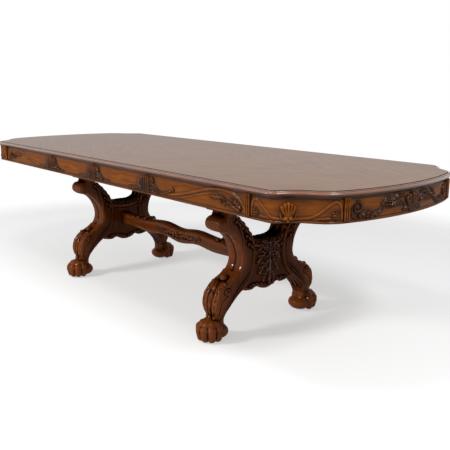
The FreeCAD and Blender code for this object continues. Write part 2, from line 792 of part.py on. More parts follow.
leg_board = plate("leg_board", leg_outline(), "leg_thickness", "YZ_Plane", True, x=PEDESTAL_PLACE)
leg_front_view = plate(
    "leg_front_view", leg_front_outline(), "2 * paw_reach", "XZ_Plane", True, x=PEDESTAL_PLACE)
leg_body = doc.addObject("Part::Common", "leg_body")
leg_body.Base, leg_body.Tool = leg_board, leg_front_view
eye = rod(
    "scroll_eye", "scroll_eye_radius", "leg_thickness + 2 * scroll_eye_proud",
    x=f"{PEDESTAL_PLACE} - leg_thickness / 2 - scroll_eye_proud", y=f"{SCROLL_EYE_SHARES[0]} * leg_reach",
    z=f"{SCROLL_EYE_SHARES[1]} * {LEG_TOP}", turn=ALONG_X)
knob = ball(
    "knee_knob", "knob_radius", x=PEDESTAL_PLACE, y=f"{KNOB_SHARES[0]} * leg_reach",
    z=f"{KNOB_SHARES[1]} * {LEG_TOP}")
leg_blank = fused("leg_blank", [leg_body, eye, knob, *paw_parts()])
leg_holes = leg_bolt_rods(
    "leg_bolt_hole", "bolt_radius + fastener_fit", "bolt_grip + overrun", f"{LEG_TOP} - bolt_grip")
leg_back = cut("right_leg_back", leg_blank, leg_holes)
node("right_leg_back", leg_back)
leg_front = node("right_leg_front", mirrored("right_leg_front", leg_back))


# The board between the legs meets their inner curves, and is bored for the stretcher's bolts

def stretcher_bolt_rods(name, radius, length, x, signs=("+", "-")):
    levels = [f"stretcher_level {sign} stretcher_bolt_spread" for sign in signs]
    return [rod(name, radius, length, x=x, z=level, turn=ALONG_X) for level in levels]


half_panel = [leg_point(shares) for shares in PANEL_SHARES]
other_half = [vector(-point.x, point.y) for point in reversed(half_panel[1:-1])]
panel_board = plate(
    "pedestal_board", polygon(half_panel + other_half), "panel_thickness", "YZ_Plane", True, x=PEDESTAL_PLACE)
PANEL_INNER_FACE = f"{PEDESTAL_PLACE} - panel_thickness / 2"
PANEL_OUTER_FACE = f"{PEDESTAL_PLACE} + panel_thickness / 2"
panel_bores = stretcher_bolt_rods(
    "panel_bore", "bolt_radius + fastener_fit", "panel_thickness + 2 * overrun",
    f"{PANEL_INNER_FACE} - overrun")
panel_bores += stretcher_bolt_rods(
    "panel_counterbore", "bolt_head_radius + fastener_fit", "bolt_head_height + overrun",
    f"{PANEL_OUTER_FACE} - bolt_head_height")
node("right_pedestal_panel", cut("right_pedestal_panel", panel_board, [leg_back, leg_front, *panel_bores]))


# Bearer across the scrolls, drilled for the bolts down into the legs and for the rail bolts

bearer_blank = box(
    "bearer_blank", "bearer_width", "bearer_length", "bearer_height",
    x=f"{PEDESTAL_PLACE} - bearer_width / 2", y="-bearer_length / 2", z=LEG_TOP)
through = leg_bolt_rods(
    "bearer_hole", "bolt_radius + fastener_fit", "bearer_height + 2 * overrun", f"{LEG_TOP} - overrun")
sinks = leg_bolt_rods(
    "bearer_sink", "bolt_head_radius + fastener_fit", "bolt_head_height + overrun",
    f"{RAIL_BOTTOM} - bolt_head_height")
bearer_holes = through + sinks
bearer_holes += [mirrored(f"{hole.Name}_front", hole) for hole in through + sinks]
bearer_holes += [
    rod("rail_bolt_hole", "bolt_radius + fastener_fit", "bolt_grip + overrun",
        x=PEDESTAL_PLACE, y=centre, z=f"{RAIL_BOTTOM} - bolt_grip") for centre in RUNNER_CENTRES]
node("right_bearer", cut("right_bearer", bearer_blank, bearer_holes))


# Carved leaf on the outer face of the board

def plaque_outline():
    points = [
        vector(across * size.plaque_width / 2, size.plaque_rise + up * size.plaque_height)
        for across, up in PLAQUE_SHARES]
    other = [vector(-point.x, point.y) for point in points]
    return [spline(points), spline(other)]


plaque = plate("right_plaque", plaque_outline(), "plaque_thickness", "YZ_Plane", x=PANEL_OUTER_FACE)


# Stretcher between the two boards, waved in its height

def stretcher_outline():
    half = pedestal_place - size.panel_thickness / 2
    top, bottom = [
        [vector(share * half, size.stretcher_level + wave * size.stretcher_depth) for share, wave in shares]
        for shares in (STRETCHER_TOP_SHARES, STRETCHER_BOTTOM_SHARES)]
    closing = [Part.LineSegment(top[-1], bottom[-1]), Part.LineSegment(bottom[0], top[0])]
    return [spline(top), spline(bottom), *closing]


stretcher_blank = plate("stretcher_blank", stretcher_outline(), "stretcher_thickness", "XZ_Plane", True)
right_bores = stretcher_bolt_rods(
    "stretcher_bore", "bolt_radius + fastener_fit", "bolt_grip + overrun", f"{PANEL_INNER_FACE} - bolt_grip")
left_bores = [turned(f"{bore.Name}_left", bore) for bore in right_bores]
node("stretcher", cut("stretcher", stretcher_blank, right_bores + left_bores))


# Bolts: along the table through each board into the stretcher, and down through bearers and rails

stretcher_bolts = headed(
    "stretcher_bolt",
    stretcher_bolt_rods("stretcher_shank", "bolt_radius", "panel_thickness - bolt_head_height + bolt_grip",
                        f"{PANEL_INNER_FACE} - bolt_grip"),
    stretcher_bolt_rods("stretcher_head", "bolt_head_radius", "bolt_head_height",
                        f"{PANEL_OUTER_FACE} - bolt_head_height"))
stretcher_bolts += [turned(f"{bolt.Name}_left", bolt) for bolt in stretcher_bolts]
node("stretcher_bolts", grouped("stretcher_bolts", stretcher_bolts))

leg_bolts = headed(
    "leg_bolt",
    leg_bolt_rods(
        "leg_shank", "bolt_radius", "bearer_height - bolt_head_height + bolt_grip", f"{LEG_TOP} - bolt_grip"),
    leg_bolt_rods("leg_head", "bolt_head_radius", "bolt_head_height", f"{RAIL_BOTTOM} - bolt_head_height"))
leg_bolts += [mirrored(f"{bolt.Name}_front", bolt) for bolt in leg_bolts]
rail_shanks = [
    rod("rail_shank", "bolt_radius", "rail_height - bolt_head_height + bolt_grip",
        x=PEDESTAL_PLACE, y=centre, z=f"{RAIL_BOTTOM} - bolt_grip") for centre in RUNNER_CENTRES]
rail_heads = [
    rod("rail_head", "bolt_head_radius", "bolt_head_height",
        x=PEDESTAL_PLACE, y=centre, z=f"{RAIL_BOTTOM} + rail_height - bolt_head_height")
    for centre in RUNNER_CENTRES]
rail_bolts = headed("rail_bolt", rail_shanks, rail_heads)
right_bolts = leg_bolts + rail_bolts
right_bolts += [turned(f"{bolt.Name}_left", bolt) for bolt in right_bolts]
node("bearer_bolts", grouped("bearer_bolts", right_bolts))


# Centre rails, bolted across both bearers, with a tongue on each side and a slot for the pinion

def centre_rail(name, centre):
    bar = box(
        f"{name}_bar", "rail_length", "rail_width", "rail_height",
        x="-rail_length / 2", y=f"{centre} - rail_width / 2", z=RAIL_BOTTOM)
    tongues = box(
        f"{name}_tongues", "rail_length", "rail_width + 2 * tongue_depth", "tongue_height",
        x="-rail_length / 2", y=f"{centre} - rail_width / 2 - tongue_depth",
        z=f"{RAIL_BOTTOM} + rail_height - tongue_drop - tongue_height")
    slot = rod(
        f"{name}_slot", f"{PITCH_RADIUS} + gear_module + 2 * gear_backlash", "gear_height + 2 * gear_gap",
        y=centre, z=f"{GEAR_BOTTOM} - gear_gap")
    pin_hole = rod(
        f"{name}_pin_hole", "pinion_pin_radius + pin_fit", "rail_height + 2 * overrun",
        y=centre, z=f"{RAIL_BOTTOM} - overrun")
    bolt_holes = []
    for sign in ("", "-"):
        place = f"{sign}{PEDESTAL_PLACE}"
        bolt_holes.append(rod(
            f"{name}_bolt_hole", "bolt_radius + fastener_fit", "rail_height + 2 * overrun",
            x=place, y=centre, z=f"{RAIL_BOTTOM} - overrun"))
        bolt_holes.append(rod(
            f"{name}_bolt_sink", "bolt_head_radius + fastener_fit", "bolt_head_height + overrun",
            x=place, y=centre, z=f"{RAIL_BOTTOM} + rail_height - bolt_head_height"))
    return cut(name, fused(f"{name}_blank", [bar, tongues]), [slot, pin_hole, *bolt_holes])


def pinion_outline():
    """Involute teeth, one of them straight towards each runner at rest."""
    module = size.gear_module
    base = pitch_radius * math.cos(math.radians(PRESSURE_ANGLE))
    root, tip = pitch_radius - DEDENDUM_SHARE * module, pitch_radius + module
    half_tooth = (math.pi * module / 4 - size.gear_backlash / 4) / pitch_radius
    pressure = math.radians(PRESSURE_ANGLE)

    def half_angle(radius):
        angle = math.acos(min(base / radius, 1))
        return half_tooth + (math.tan(pressure) - pressure) - (math.tan(angle) - angle)

    radii = [base + share * (tip - base) for share in FLANK_SHARES]
    flank = [(root, half_angle(base))] + [(radius, half_angle(radius)) for radius in radii]
    points = []
    for number in range(GEAR_TEETH):
        middle = 2 * math.pi * number / GEAR_TEETH
        for side, run in ((-1, flank), (1, list(reversed(flank)))):
            points += [
                vector(radius * math.cos(middle + side * angle), radius * math.sin(middle + side * angle))
                for radius, angle in run]
    hole = Part.Circle(vector(0, 0), FreeCAD.Vector(0, 0, 1), size.pinion_pin_radius + size.pin_fit)
    return polygon(points) + [hole]


pinion_pins = []
for side, centre in (("back", "rail_spread"), ("front", "-rail_spread")):
    node(f"centre_rail_{side}", centre_rail(f"centre_rail_{side}", centre))
    node(f"pinion_{side}", plate(f"pinion_{side}", pinion_outline(), "gear_height", y=centre, z=GEAR_BOTTOM))
    shank = rod(f"pinion_pin_{side}", "pinion_pin_radius", "rail_height", y=centre, z=RAIL_BOTTOM)
    head = rod(
        f"pin_head_{side}", "pin_head_radius", "pin_head_height", y=centre, z=f"{RAIL_BOTTOM} + rail_height")
    pinion_pins.append(fused(f"headed_pin_{side}", [shank, head]))
node("pinion_pins", grouped("pinion_pins", pinion_pins))


# Glides nailed under the paws, and the carved leaves of both pedestals

glide = rod(
    "glide", "glide_radius", "glide_height",
    x=PEDESTAL_PLACE, y=f"paw_heel + {PAW_RUN} / 2", z="0")
glides = [glide, mirrored("glide_front", glide)]
glides += [turned(f"{item.Name}_left", item) for item in glides]
node("floor_glides", grouped("floor_glides", glides))
node("leaf_plaques", grouped("leaf_plaques", [plaque, turned("left_plaque", plaque)]))


# Left half, left leaf and left pedestal: the right ones turned, so front and back change places

OPPOSITE = {"front": "back", "back": "front"}
for name in [name for name in nodes if name.startswith("right_")]:
    side = name.rsplit("_", 1)[-1]
    left_name = name.replace("right_", "left_", 1)
    if side in OPPOSITE:
        left_name = left_name[:-len(side)] + OPPOSITE[side]
    node(left_name, turned(left_name, nodes[name]))

doc.recompute()

for item in doc.Objects:
    if "Invalid" in item.State or "Error" in item.State:
        raise RuntimeError(f"{item.Label} failed: {item.State}")
os.makedirs("parts", exist_ok=True)
for name, item in nodes.items():
    shape = item.Shape
    if shape.isNull() or not shape.isValid() or not shape.Solids:
        raise RuntimeError(f"{name} has no valid shape")
    shape.exportStep(f"parts/{name}.step")
print(f"{len(nodes)} nodes")
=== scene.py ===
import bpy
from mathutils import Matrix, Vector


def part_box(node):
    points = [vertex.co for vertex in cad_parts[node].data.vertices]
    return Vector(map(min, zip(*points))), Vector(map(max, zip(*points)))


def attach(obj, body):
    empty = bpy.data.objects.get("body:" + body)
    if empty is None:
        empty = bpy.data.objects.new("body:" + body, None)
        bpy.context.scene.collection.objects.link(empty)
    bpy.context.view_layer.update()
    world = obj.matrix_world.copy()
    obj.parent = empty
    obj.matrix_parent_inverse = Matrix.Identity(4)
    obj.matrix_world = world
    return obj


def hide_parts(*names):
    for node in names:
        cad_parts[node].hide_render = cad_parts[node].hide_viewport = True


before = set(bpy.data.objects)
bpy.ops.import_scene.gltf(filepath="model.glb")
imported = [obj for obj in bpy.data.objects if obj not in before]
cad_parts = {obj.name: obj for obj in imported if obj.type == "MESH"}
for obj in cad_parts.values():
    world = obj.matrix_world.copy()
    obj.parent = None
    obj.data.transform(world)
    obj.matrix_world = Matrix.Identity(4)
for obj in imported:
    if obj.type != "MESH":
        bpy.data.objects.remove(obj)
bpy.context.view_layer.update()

import copy
import math

import bpy
import numpy as np
import openvdb
from mathutils import Matrix, Quaternion, Vector

# Legs. Four scrolled legs of dark stained hardwood, each sawn from a thick glued block and carved in one
# piece: a roll of soft lobes at the top, reeds down the outer face, leaves over the knee and a lion's paw.
# Each is bolted up into its bearer and glued to the board between the pair.

LEG_THICKNESS = 0.112
LEG_REACH = 0.333
PEDESTAL_PLACE = 0.625
LEG_ROUND = 0.009
LEG_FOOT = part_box("right_leg_back")[0][2]
bearer_low, bearer_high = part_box("right_bearer")
LEG_TOP = bearer_low[2]
CARVING_STEP = 0.002
LEG_OUTER_SHARES = [
    (0.78, 1.0), (0.8, 0.97), (0.83, 0.93), (0.835, 0.885), (0.81, 0.85), (0.757, 0.823),
    (0.667, 0.79), (0.589, 0.74), (0.535, 0.68), (0.505, 0.617), (0.517, 0.558),
    (0.577, 0.505), (0.679, 0.467), (0.793, 0.437), (0.883, 0.397), (0.94, 0.343), (0.964, 0.283),
    (0.962, 0.23), (0.943, 0.185), (0.925, 0.15), (0.925, 0.12)]
LEG_INNER_SHARES = [
    (0.79, 0.12), (0.79, 0.16), (0.784, 0.185), (0.757, 0.23), (0.685, 0.28), (0.589, 0.327),
    (0.48, 0.37), (0.384, 0.423), (0.318, 0.487), (0.282, 0.56), (0.27, 0.633), (0.282, 0.7),
    (0.324, 0.763), (0.396, 0.823), (0.486, 0.88), (0.577, 0.927), (0.637, 0.967), (0.655, 1.0)]
LEG_WIDTH_SHARES = [
    (0.1, 0.64), (0.165, 0.64), (0.2, 0.76), (0.24, 0.94), (0.29, 1.0), (1.0, 1.0)]


class Term:
    """A shader socket that Python's arithmetic works on."""

    def __init__(self, nodes, socket):
        self.nodes, self.socket = nodes, socket

    def __add__(self, other):
        return self.nodes.maths("ADD", self, other)

    def __sub__(self, other):
        return self.nodes.maths("SUBTRACT", self, other)

    def __rsub__(self, other):
        return self.nodes.maths("SUBTRACT", other, self)

    def __mul__(self, other):
        return self.nodes.maths("MULTIPLY", self, other)

    __radd__ = __add__
    __rmul__ = __mul__


class Nodes:
    """A tree of shader nodes."""

    def __init__(self, tree):
        self.tree = tree

    def node(self, kind, settings=None, sockets=None, output=0):
        """Adds a node, each of whose sockets takes a constant or another node's term."""
        made = self.tree.nodes.new(kind)
        for name, value in (settings or {}).items():
            setattr(made, name, value)
        for name, value in (sockets or {}).items():
            if isinstance(value, Term):
                self.tree.links.new(value.socket, made.inputs[name])
            else:
                made.inputs[name].default_value = value
        return Term(self, made.outputs[output]) if made.outputs else None

    def noise(self, place, scale, detail, **sockets):
        return self.node("ShaderNodeTexNoise", {}, {"Vector": place, "Scale": scale, "Detail": detail, **sockets})

    def maths(self, operation, first, second=0.0, third=0.0, clamp=False):
        settings = {"operation": operation, "use_clamp": clamp}
        return self.node("ShaderNodeMath", settings, {0: first, 1: second, 2: third})

    def blend(self, share, first, second):
        """A mix of two colours, which are sockets 6 and 7 and output 2 of the Mix node."""
        first, second = [(*colour, 1) if isinstance(colour, tuple) else colour for colour in (first, second)]
        return self.node("ShaderNodeMix", {"data_type": "RGBA"}, {0: share, 6: first, 7: second}, output=2)


class Finish(Nodes):
    """A material built around one Principled shader."""

    def __init__(self, name, **constants):
        self.material = bpy.data.materials.new(name)
        self.material.use_nodes = True
        super().__init__(self.material.node_tree)
        self.shader = self.tree.nodes["Principled BSDF"]
        for socket, value in constants.items():
            self.shader.inputs[socket.replace("_", " ")].default_value = value

    def feed(self, **links):
        for socket, term in links.items():
            self.tree.links.new(term.socket, self.shader.inputs[socket.replace("_", " ")])
        return self.material


def wood_finish(name, dark, light, recess, grain, gloss, shine=0.0, scale=1.0, bump=0.12, source="object",
                rub=0.5, figure=2.4, slant=None, polish=0.12, dulled=1.0):
    """Stained and lacquered wood: streaks along the grain and rubbed edges, with the hollow attribute blending it to
    the recess colour: dark glazing in the grooves, and painted shading in broad hollows and on faces turned from the
    light.
    """
    finish = Finish(name, Coat_Roughness=polish, Coat_IOR=1.5, IOR=1.45, Specular_IOR_Level=shine)
    if source == "object":
        place = finish.node("ShaderNodeTexCoord", output="Object")
    else:
        place = finish.node("ShaderNodeAttribute", {"attribute_name": source}, output="Vector")
    if slant is not None:
        folded = finish.node("ShaderNodeVectorMath", {"operation": "ABSOLUTE"}, {0: place})
        place = finish.node("ShaderNodeVectorRotate", {"rotation_type": "Z_AXIS"}, {"Vector": folded, "Angle": slant})
    stretched = finish.node("ShaderNodeVectorMath", {"operation": "MULTIPLY"}, {0: place, 1: grain})
    streaks = finish.noise(stretched, 9.0 * scale, 6.0, Roughness=0.62, Distortion=0.6)
    pores = finish.noise(stretched, 60.0 * scale, 3.0, Roughness=0.7)
    clouds = finish.noise(place, 5.0, 2.0)
    hollow = finish.node("ShaderNodeAttribute", {"attribute_name": "hollow"}, output=2)
    # Darkens towards recess: dark glazing in the grooves, and painted shade in broad hollows and on faces turned from
    # the light.
    glaze_and_shade = finish.maths("MULTIPLY", hollow, 1.0, clamp=True)
    rubbed = finish.maths("MULTIPLY", hollow, -rub, clamp=True)
    colour = finish.blend(finish.maths("MULTIPLY_ADD", streaks, figure, 0.5 - 0.5 * figure, clamp=True), dark, light)
    colour = finish.blend(finish.maths("MULTIPLY", pores - 0.54, 2.2, clamp=True), colour, dark)
    colour = finish.blend(finish.maths("MULTIPLY", clouds - 0.5, 2.0, clamp=True), colour, dark)
    colour = finish.blend(rubbed, finish.blend(glaze_and_shade, colour, recess), light)
    relief = finish.node("ShaderNodeBump", {}, {"Strength": bump, "Distance": 0.001, "Height": pores})
    coat = (1 - glaze_and_shade * dulled) * gloss
    roughness = streaks * 0.12 + glaze_and_shade * 0.35 + 0.28
    return finish.feed(Base_Color=colour, Roughness=roughness, Coat_Weight=coat, Normal=relief)


def smooth_line(points, steps=8):
    """A Catmull-Rom curve through given points."""
    points = np.array(points, float)
    before = np.vstack([2 * points[0] - points[1], points, 2 * points[-1] - points[-2]])
    share = np.linspace(0, 1, steps, endpoint=False)[:, None]
    spans = []
    for first, second, third, fourth in zip(before, before[1:], before[2:], before[3:]):
        spans.append(0.5 * (2 * second + (third - first) * share
                            + (2 * first - 5 * second + 4 * third - fourth) * share ** 2
                            + (3 * second - first - 3 * third + fourth) * share ** 3))
    return np.vstack([*spans, points[-1:]])


def round_over(share):
    """The height of a round ridge at a share of its half width."""
    return np.sqrt(np.clip(1 - share ** 2, 0, 1))


def from_segment(across, up, start, end):
    """Distances from places to a straight line, and the shares of its length that are nearest to them."""
    run, rise = end[0] - start[0], end[1] - start[1]
    across, up = across - start[0], up - start[1]
    share = np.clip((across * run + up * rise) / max(run ** 2 + rise ** 2, 1e-12), 0, 1)
    return np.hypot(across - share * run, up - share * rise), share


def blurred(field, reach):
    """Box average over each axis, two passes."""
    for axis in list(range(field.ndim)) * 2:
        margins = [(reach + 1, reach) if side == axis else (0, 0) for side in range(field.ndim)]
        total = np.cumsum(np.pad(field, margins, "edge"), axis=axis, dtype=np.float64)
        upper = np.take(total, range(2 * reach + 1, total.shape[axis]), axis=axis)
        lower = np.take(total, range(0, total.shape[axis] - 2 * reach - 1), axis=axis)
        field = (upper - lower) / (2 * reach + 1)
    return field


def glaze_and_shade_of(depth, fine, broad, clean, cover, bare):
    """Dark glazing and painted shading in narrow grooves, and painted shading over broader hollows, where a surface
    lies deeper than its surroundings; rubbed off where it stands proud. Fine and broad each give a reach in steps of
    the grid and a strength, and broad its limit too."""
    narrow = (depth - blurred(depth, fine[0])) * fine[1]
    wide = (depth - blurred(depth, broad[0])) * broad[1]
    edges = np.where(narrow > 0, np.clip(narrow - clean, 0, cover), np.clip(narrow * bare[0], -bare[1], 0))
    return edges + np.clip(wide, 0, broad[2])


class Relief:
    """Carving on a face, as heights over a grid of places along it and up it. The places that its methods
    take are measured from start, to its right where side is 1 and to its left where it is -1."""

    QUIRK_DEPTH, QUIRK_WIDTH = 0.0018, 0.0014

    def __init__(self, along, up):
        self.axes = (np.asarray(along), np.asarray(up))
        self.height = np.zeros((len(along), len(up)))
        # Darker and lighter patches over the face: stains round the carving, and painted shade along the lower bead
        # and in the cove under the moulded edge.
        self.stain_and_shade = np.zeros((len(along), len(up)))
        self.start, self.side = 0.0, 1

    def placed(self, points):
        return np.asarray(points, float) * (self.side, 1) + (self.start, 0)

    def window(self, points, margin):
        low, high = points.min(axis=0) - margin, points.max(axis=0) + margin
        spans = [slice(*np.searchsorted(axis, (low[side], high[side]))) for side, axis in enumerate(self.axes)]
        along, up = np.meshgrid(self.axes[0][spans[0]], self.axes[1][spans[1]], indexing="ij")
        return tuple(spans), along, up

    def near(self, points, margin):
        """Distance to a line and the share of its length at the nearest place."""
        line = self.placed(points)
        spans, along, up = self.window(line, margin)
        nearest = np.full(along.shape, np.inf)
        place = np.zeros(along.shape)
        for number, (start, end) in enumerate(zip(line, line[1:])):
            gap, share = from_segment(along, up, start, end)
            closer = gap < nearest
            nearest = np.where(closer, gap, nearest)
            place = np.where(closer, (number + share) / (len(line) - 1), place)
        return spans, nearest, place

    def around(self, centre, radius):
        """Distance from a centre and the angle round it, mirrored where the carving is."""
        centre = self.placed([centre])
        spans, along, up = self.window(centre, radius)
        along, up = along - centre[0, 0], up - centre[0, 1]
        return spans, np.hypot(along, up), np.arctan2(up, along * self.side)

    def raise_to(self, spans, height):
        self.height[spans] = np.maximum(self.height[spans], height)

    def bead(self, points, width, height, taper=0.0):
        """A round moulding along a line; taper thins its ends."""
        spans, gap, place = self.near(points, width)
        fade = 1 - taper * np.abs(2 * place - 1) ** 2
        self.raise_to(spans, height * fade * round_over(2 * gap / (width * fade)))

    def drop(self, start_width, end_width, height, *points):
        """A petal: a ridge that widens from its foot to its round tip."""
        spans, gap, place = self.near(smooth_line(points), end_width)
        half = (start_width + (end_width - start_width) * place) / 2
        self.raise_to(spans, height * round_over(gap / half) * (0.6 + 0.4 * place))

    def groove(self, points, width, depth):
        spans, gap, _ = self.near(points, 2 * width)
        self.height[spans] -= depth * np.exp(-(2 * gap / width) ** 2)

    def moulding(self, width, height, *points):
        """A low band between two narrow quirks."""
        line = smooth_line(points)
        spans, gap, _ = self.near(line, width * 2)
        self.height[spans] -= self.QUIRK_DEPTH * np.exp(-((gap - width * 0.6) / self.QUIRK_WIDTH) ** 2)
        self.bead(line, width, height)

    def leaves(self, *rows):
        """Acanthus leaves with lobed edges and slanted veins. Each row gives a leaf's width, height and
        number of lobes, then points from its base to its tip."""
        for width, height, lobes, *points in rows:
            spans, gap, place = self.near(smooth_line(points), width)
            envelope = np.sin(math.pi * np.clip(place, 0, 1) ** 0.75) ** 0.7 * (1 - 0.35 * place) + 0.05
            lobed = envelope * (0.8 + 0.2 * np.cos(2 * math.pi * (lobes * place + 0.5)))
            share = gap / (width / 2 * lobed)
            veins = 0.72 + 0.28 * np.cos(2 * math.pi * (lobes * place - 0.75 * share))
            rib = np.exp(-(gap / (width * 0.06)) ** 2)
            self.raise_to(spans, height * round_over(share) * (veins * (1 - rib) + 1.05 * rib))

    def flower(self, centre, radius, height, petals=6):
        spans, reach, angle = self.around(centre, radius)
        lobes = np.cos(petals * angle)
        body = round_over(reach / (radius * (0.82 + 0.18 * lobes))) * (0.75 + 0.25 * lobes)
        ring = 1 - 0.75 * np.exp(-((reach - 0.42 * radius) / (0.12 * radius)) ** 2)
        button = round_over(reach / (0.34 * radius)) * 1.15
        self.raise_to(spans, height * np.maximum(body * ring, button))

    def scroll(self, centre, radius, start, turns, width, height):
        """A bead that winds in to a round eye; start is in degrees, and negative turns wind clockwise."""
        share = np.linspace(0, 1, 40)
        angle = math.radians(start) + share * turns * 2 * math.pi
        reach = radius * (1 - 0.82 * share)
        line = np.stack([centre[0] + reach * np.cos(angle), centre[1] + reach * np.sin(angle)], axis=1)
        self.bead(line, width, height, taper=0.25)
        self.dome(centre, radius * 0.3, height * 1.1)

    def dome(self, centre, radius, height):
        spans, reach, _ = self.around(centre, radius)
        self.raise_to(spans, height * round_over(reach / radius))

    def fan(self, base, start, end, inner, outer, petals, height):
        """Petals side by side between two angles, round at their tips, like half a shell."""
        spans, reach, angle = self.around(base, outer)
        share = (np.degrees(angle) - start) / (end - start) * petals
        body = round_over(2.05 * (share - np.floor(share) - 0.5))
        tip = round_over(np.clip((reach / outer - 0.8) / 0.2, 0, 1) / np.maximum(body, 0.2))
        inside = (share > 0) & (share < petals) & (reach > inner)
        self.raise_to(spans, np.where(inside, height * body * tip * (0.55 + 0.45 * reach / outer), 0))

    def hollows(self):
        """How dark each place is: dark glazing and painted shading, full in the grooves and a little around the
        carving, plus the stains and painted shading set on the face.
        """
        return glaze_and_shade_of(-self.height, (3, 800), (12, 260, 0.5), 0.12, 0.85, (0.6, 0.15)) + self.stain_and_shade

    def glaze_over(self, before, amount):
        """Darkens what was carved since an earlier state of the heights."""
        self.stain_and_shade += amount * np.clip((self.height - before) / 0.003, 0, 1)

    def stain(self, centre, spread, amount):
        """Dark glazing left on and around a carved place."""
        along, up = np.meshgrid(*self.axes, indexing="ij")
        place = self.placed(centre)
        self.stain_and_shade += amount * np.exp(-((along - place[0]) / spread[0]) ** 2 - ((up - place[1]) / spread[1]) ** 2)


def new_piece(name, finishes, points, quads, others=(), hollow=None, smooth=40, fibre=None):
    """A mesh object from points and faces, turned outwards by its volume; fibre places its wood grain."""
    points, quads = np.asarray(points, float), np.asarray(quads, int).reshape(-1, 4)
    a, b, c, d = [points[quads[:, corner]] for corner in range(4)]
    volume = np.einsum("ij,ij->", a, np.cross(b, c)) + np.einsum("ij,ij->", a, np.cross(c, d))
    faces = [quads, *[np.asarray(face, int)[None, :] for face in others]]
    if volume < 0:
        faces = [face[:, ::-1] for face in faces]
    mesh = bpy.data.meshes.new(name)
    corners = np.concatenate([face.ravel() for face in faces])
    sizes = np.concatenate([np.full(len(face), face.shape[1]) for face in faces])
    mesh.vertices.add(len(points))
    mesh.vertices.foreach_set("co", points.ravel())
    mesh.loops.add(len(corners))
    mesh.loops.foreach_set("vertex_index", corners)
    mesh.polygons.add(len(sizes))
    mesh.polygons.foreach_set("loop_start", np.concatenate([[0], np.cumsum(sizes)[:-1]]))
    mesh.update(calc_edges=True)
    mesh.validate()
    if hollow is not None:
        mesh.attributes.new("hollow", "FLOAT", "POINT").data.foreach_set("value", np.ravel(hollow).astype(np.float32))
    if fibre is not None:
        mesh.attributes.new("fibre", "FLOAT_VECTOR", "POINT").data.foreach_set("vector", np.ravel(fibre))
    mesh.polygons.foreach_set("use_smooth", np.ones(len(mesh.polygons), bool))
    if smooth:
        mesh.set_sharp_from_angle(angle=math.radians(smooth))
    for finish in finishes:
        mesh.materials.append(finish)
    piece = bpy.data.objects.new(name, mesh)
    bpy.context.scene.collection.objects.link(piece)
    return piece


def twin(source, name, mirror=False, turn=False):
    """A copy of a piece for the front (mirrored) or for the left half of the table (turned)."""
    mesh = source.data
    if mirror:
        mesh = source.data.copy()
        mesh.transform(Matrix.Diagonal((1, -1, 1, 1)))
        mesh.flip_normals()
    piece = bpy.data.objects.new(name, mesh)
    piece.rotation_euler.z = math.pi if turn else 0
    bpy.context.scene.collection.objects.link(piece)
    return piece


def fit(piece, body, slot, *nodes):
    """The piece stands for these nodes and moves with their body."""
    bpy.context.view_layer.update()
    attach(piece, body)
    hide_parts(*nodes)


def fit_four(back, front, stem, body, slot):
    """The back and front pieces on the right; turned round, each stands at the other side on the left."""
    for piece, side, other_side in ((back, "back", "front"), (front, "front", "back")):
        turned = twin(piece, f"carved_left_{stem}_{other_side}", turn=True)
        fit(turned, body.replace("right", "left"), slot, f"left_{stem}_{other_side}")
        fit(piece, body, slot, f"right_{stem}_{side}")


def rounded(across, beside, radius):
    """Distance to a board with rounded edges, from the distances to its outline and to its faces."""
    across, beside = across + radius, beside + radius
    return np.minimum(np.maximum(across, beside), 0) + np.hypot(np.maximum(across, 0), np.maximum(beside, 0)) - radius


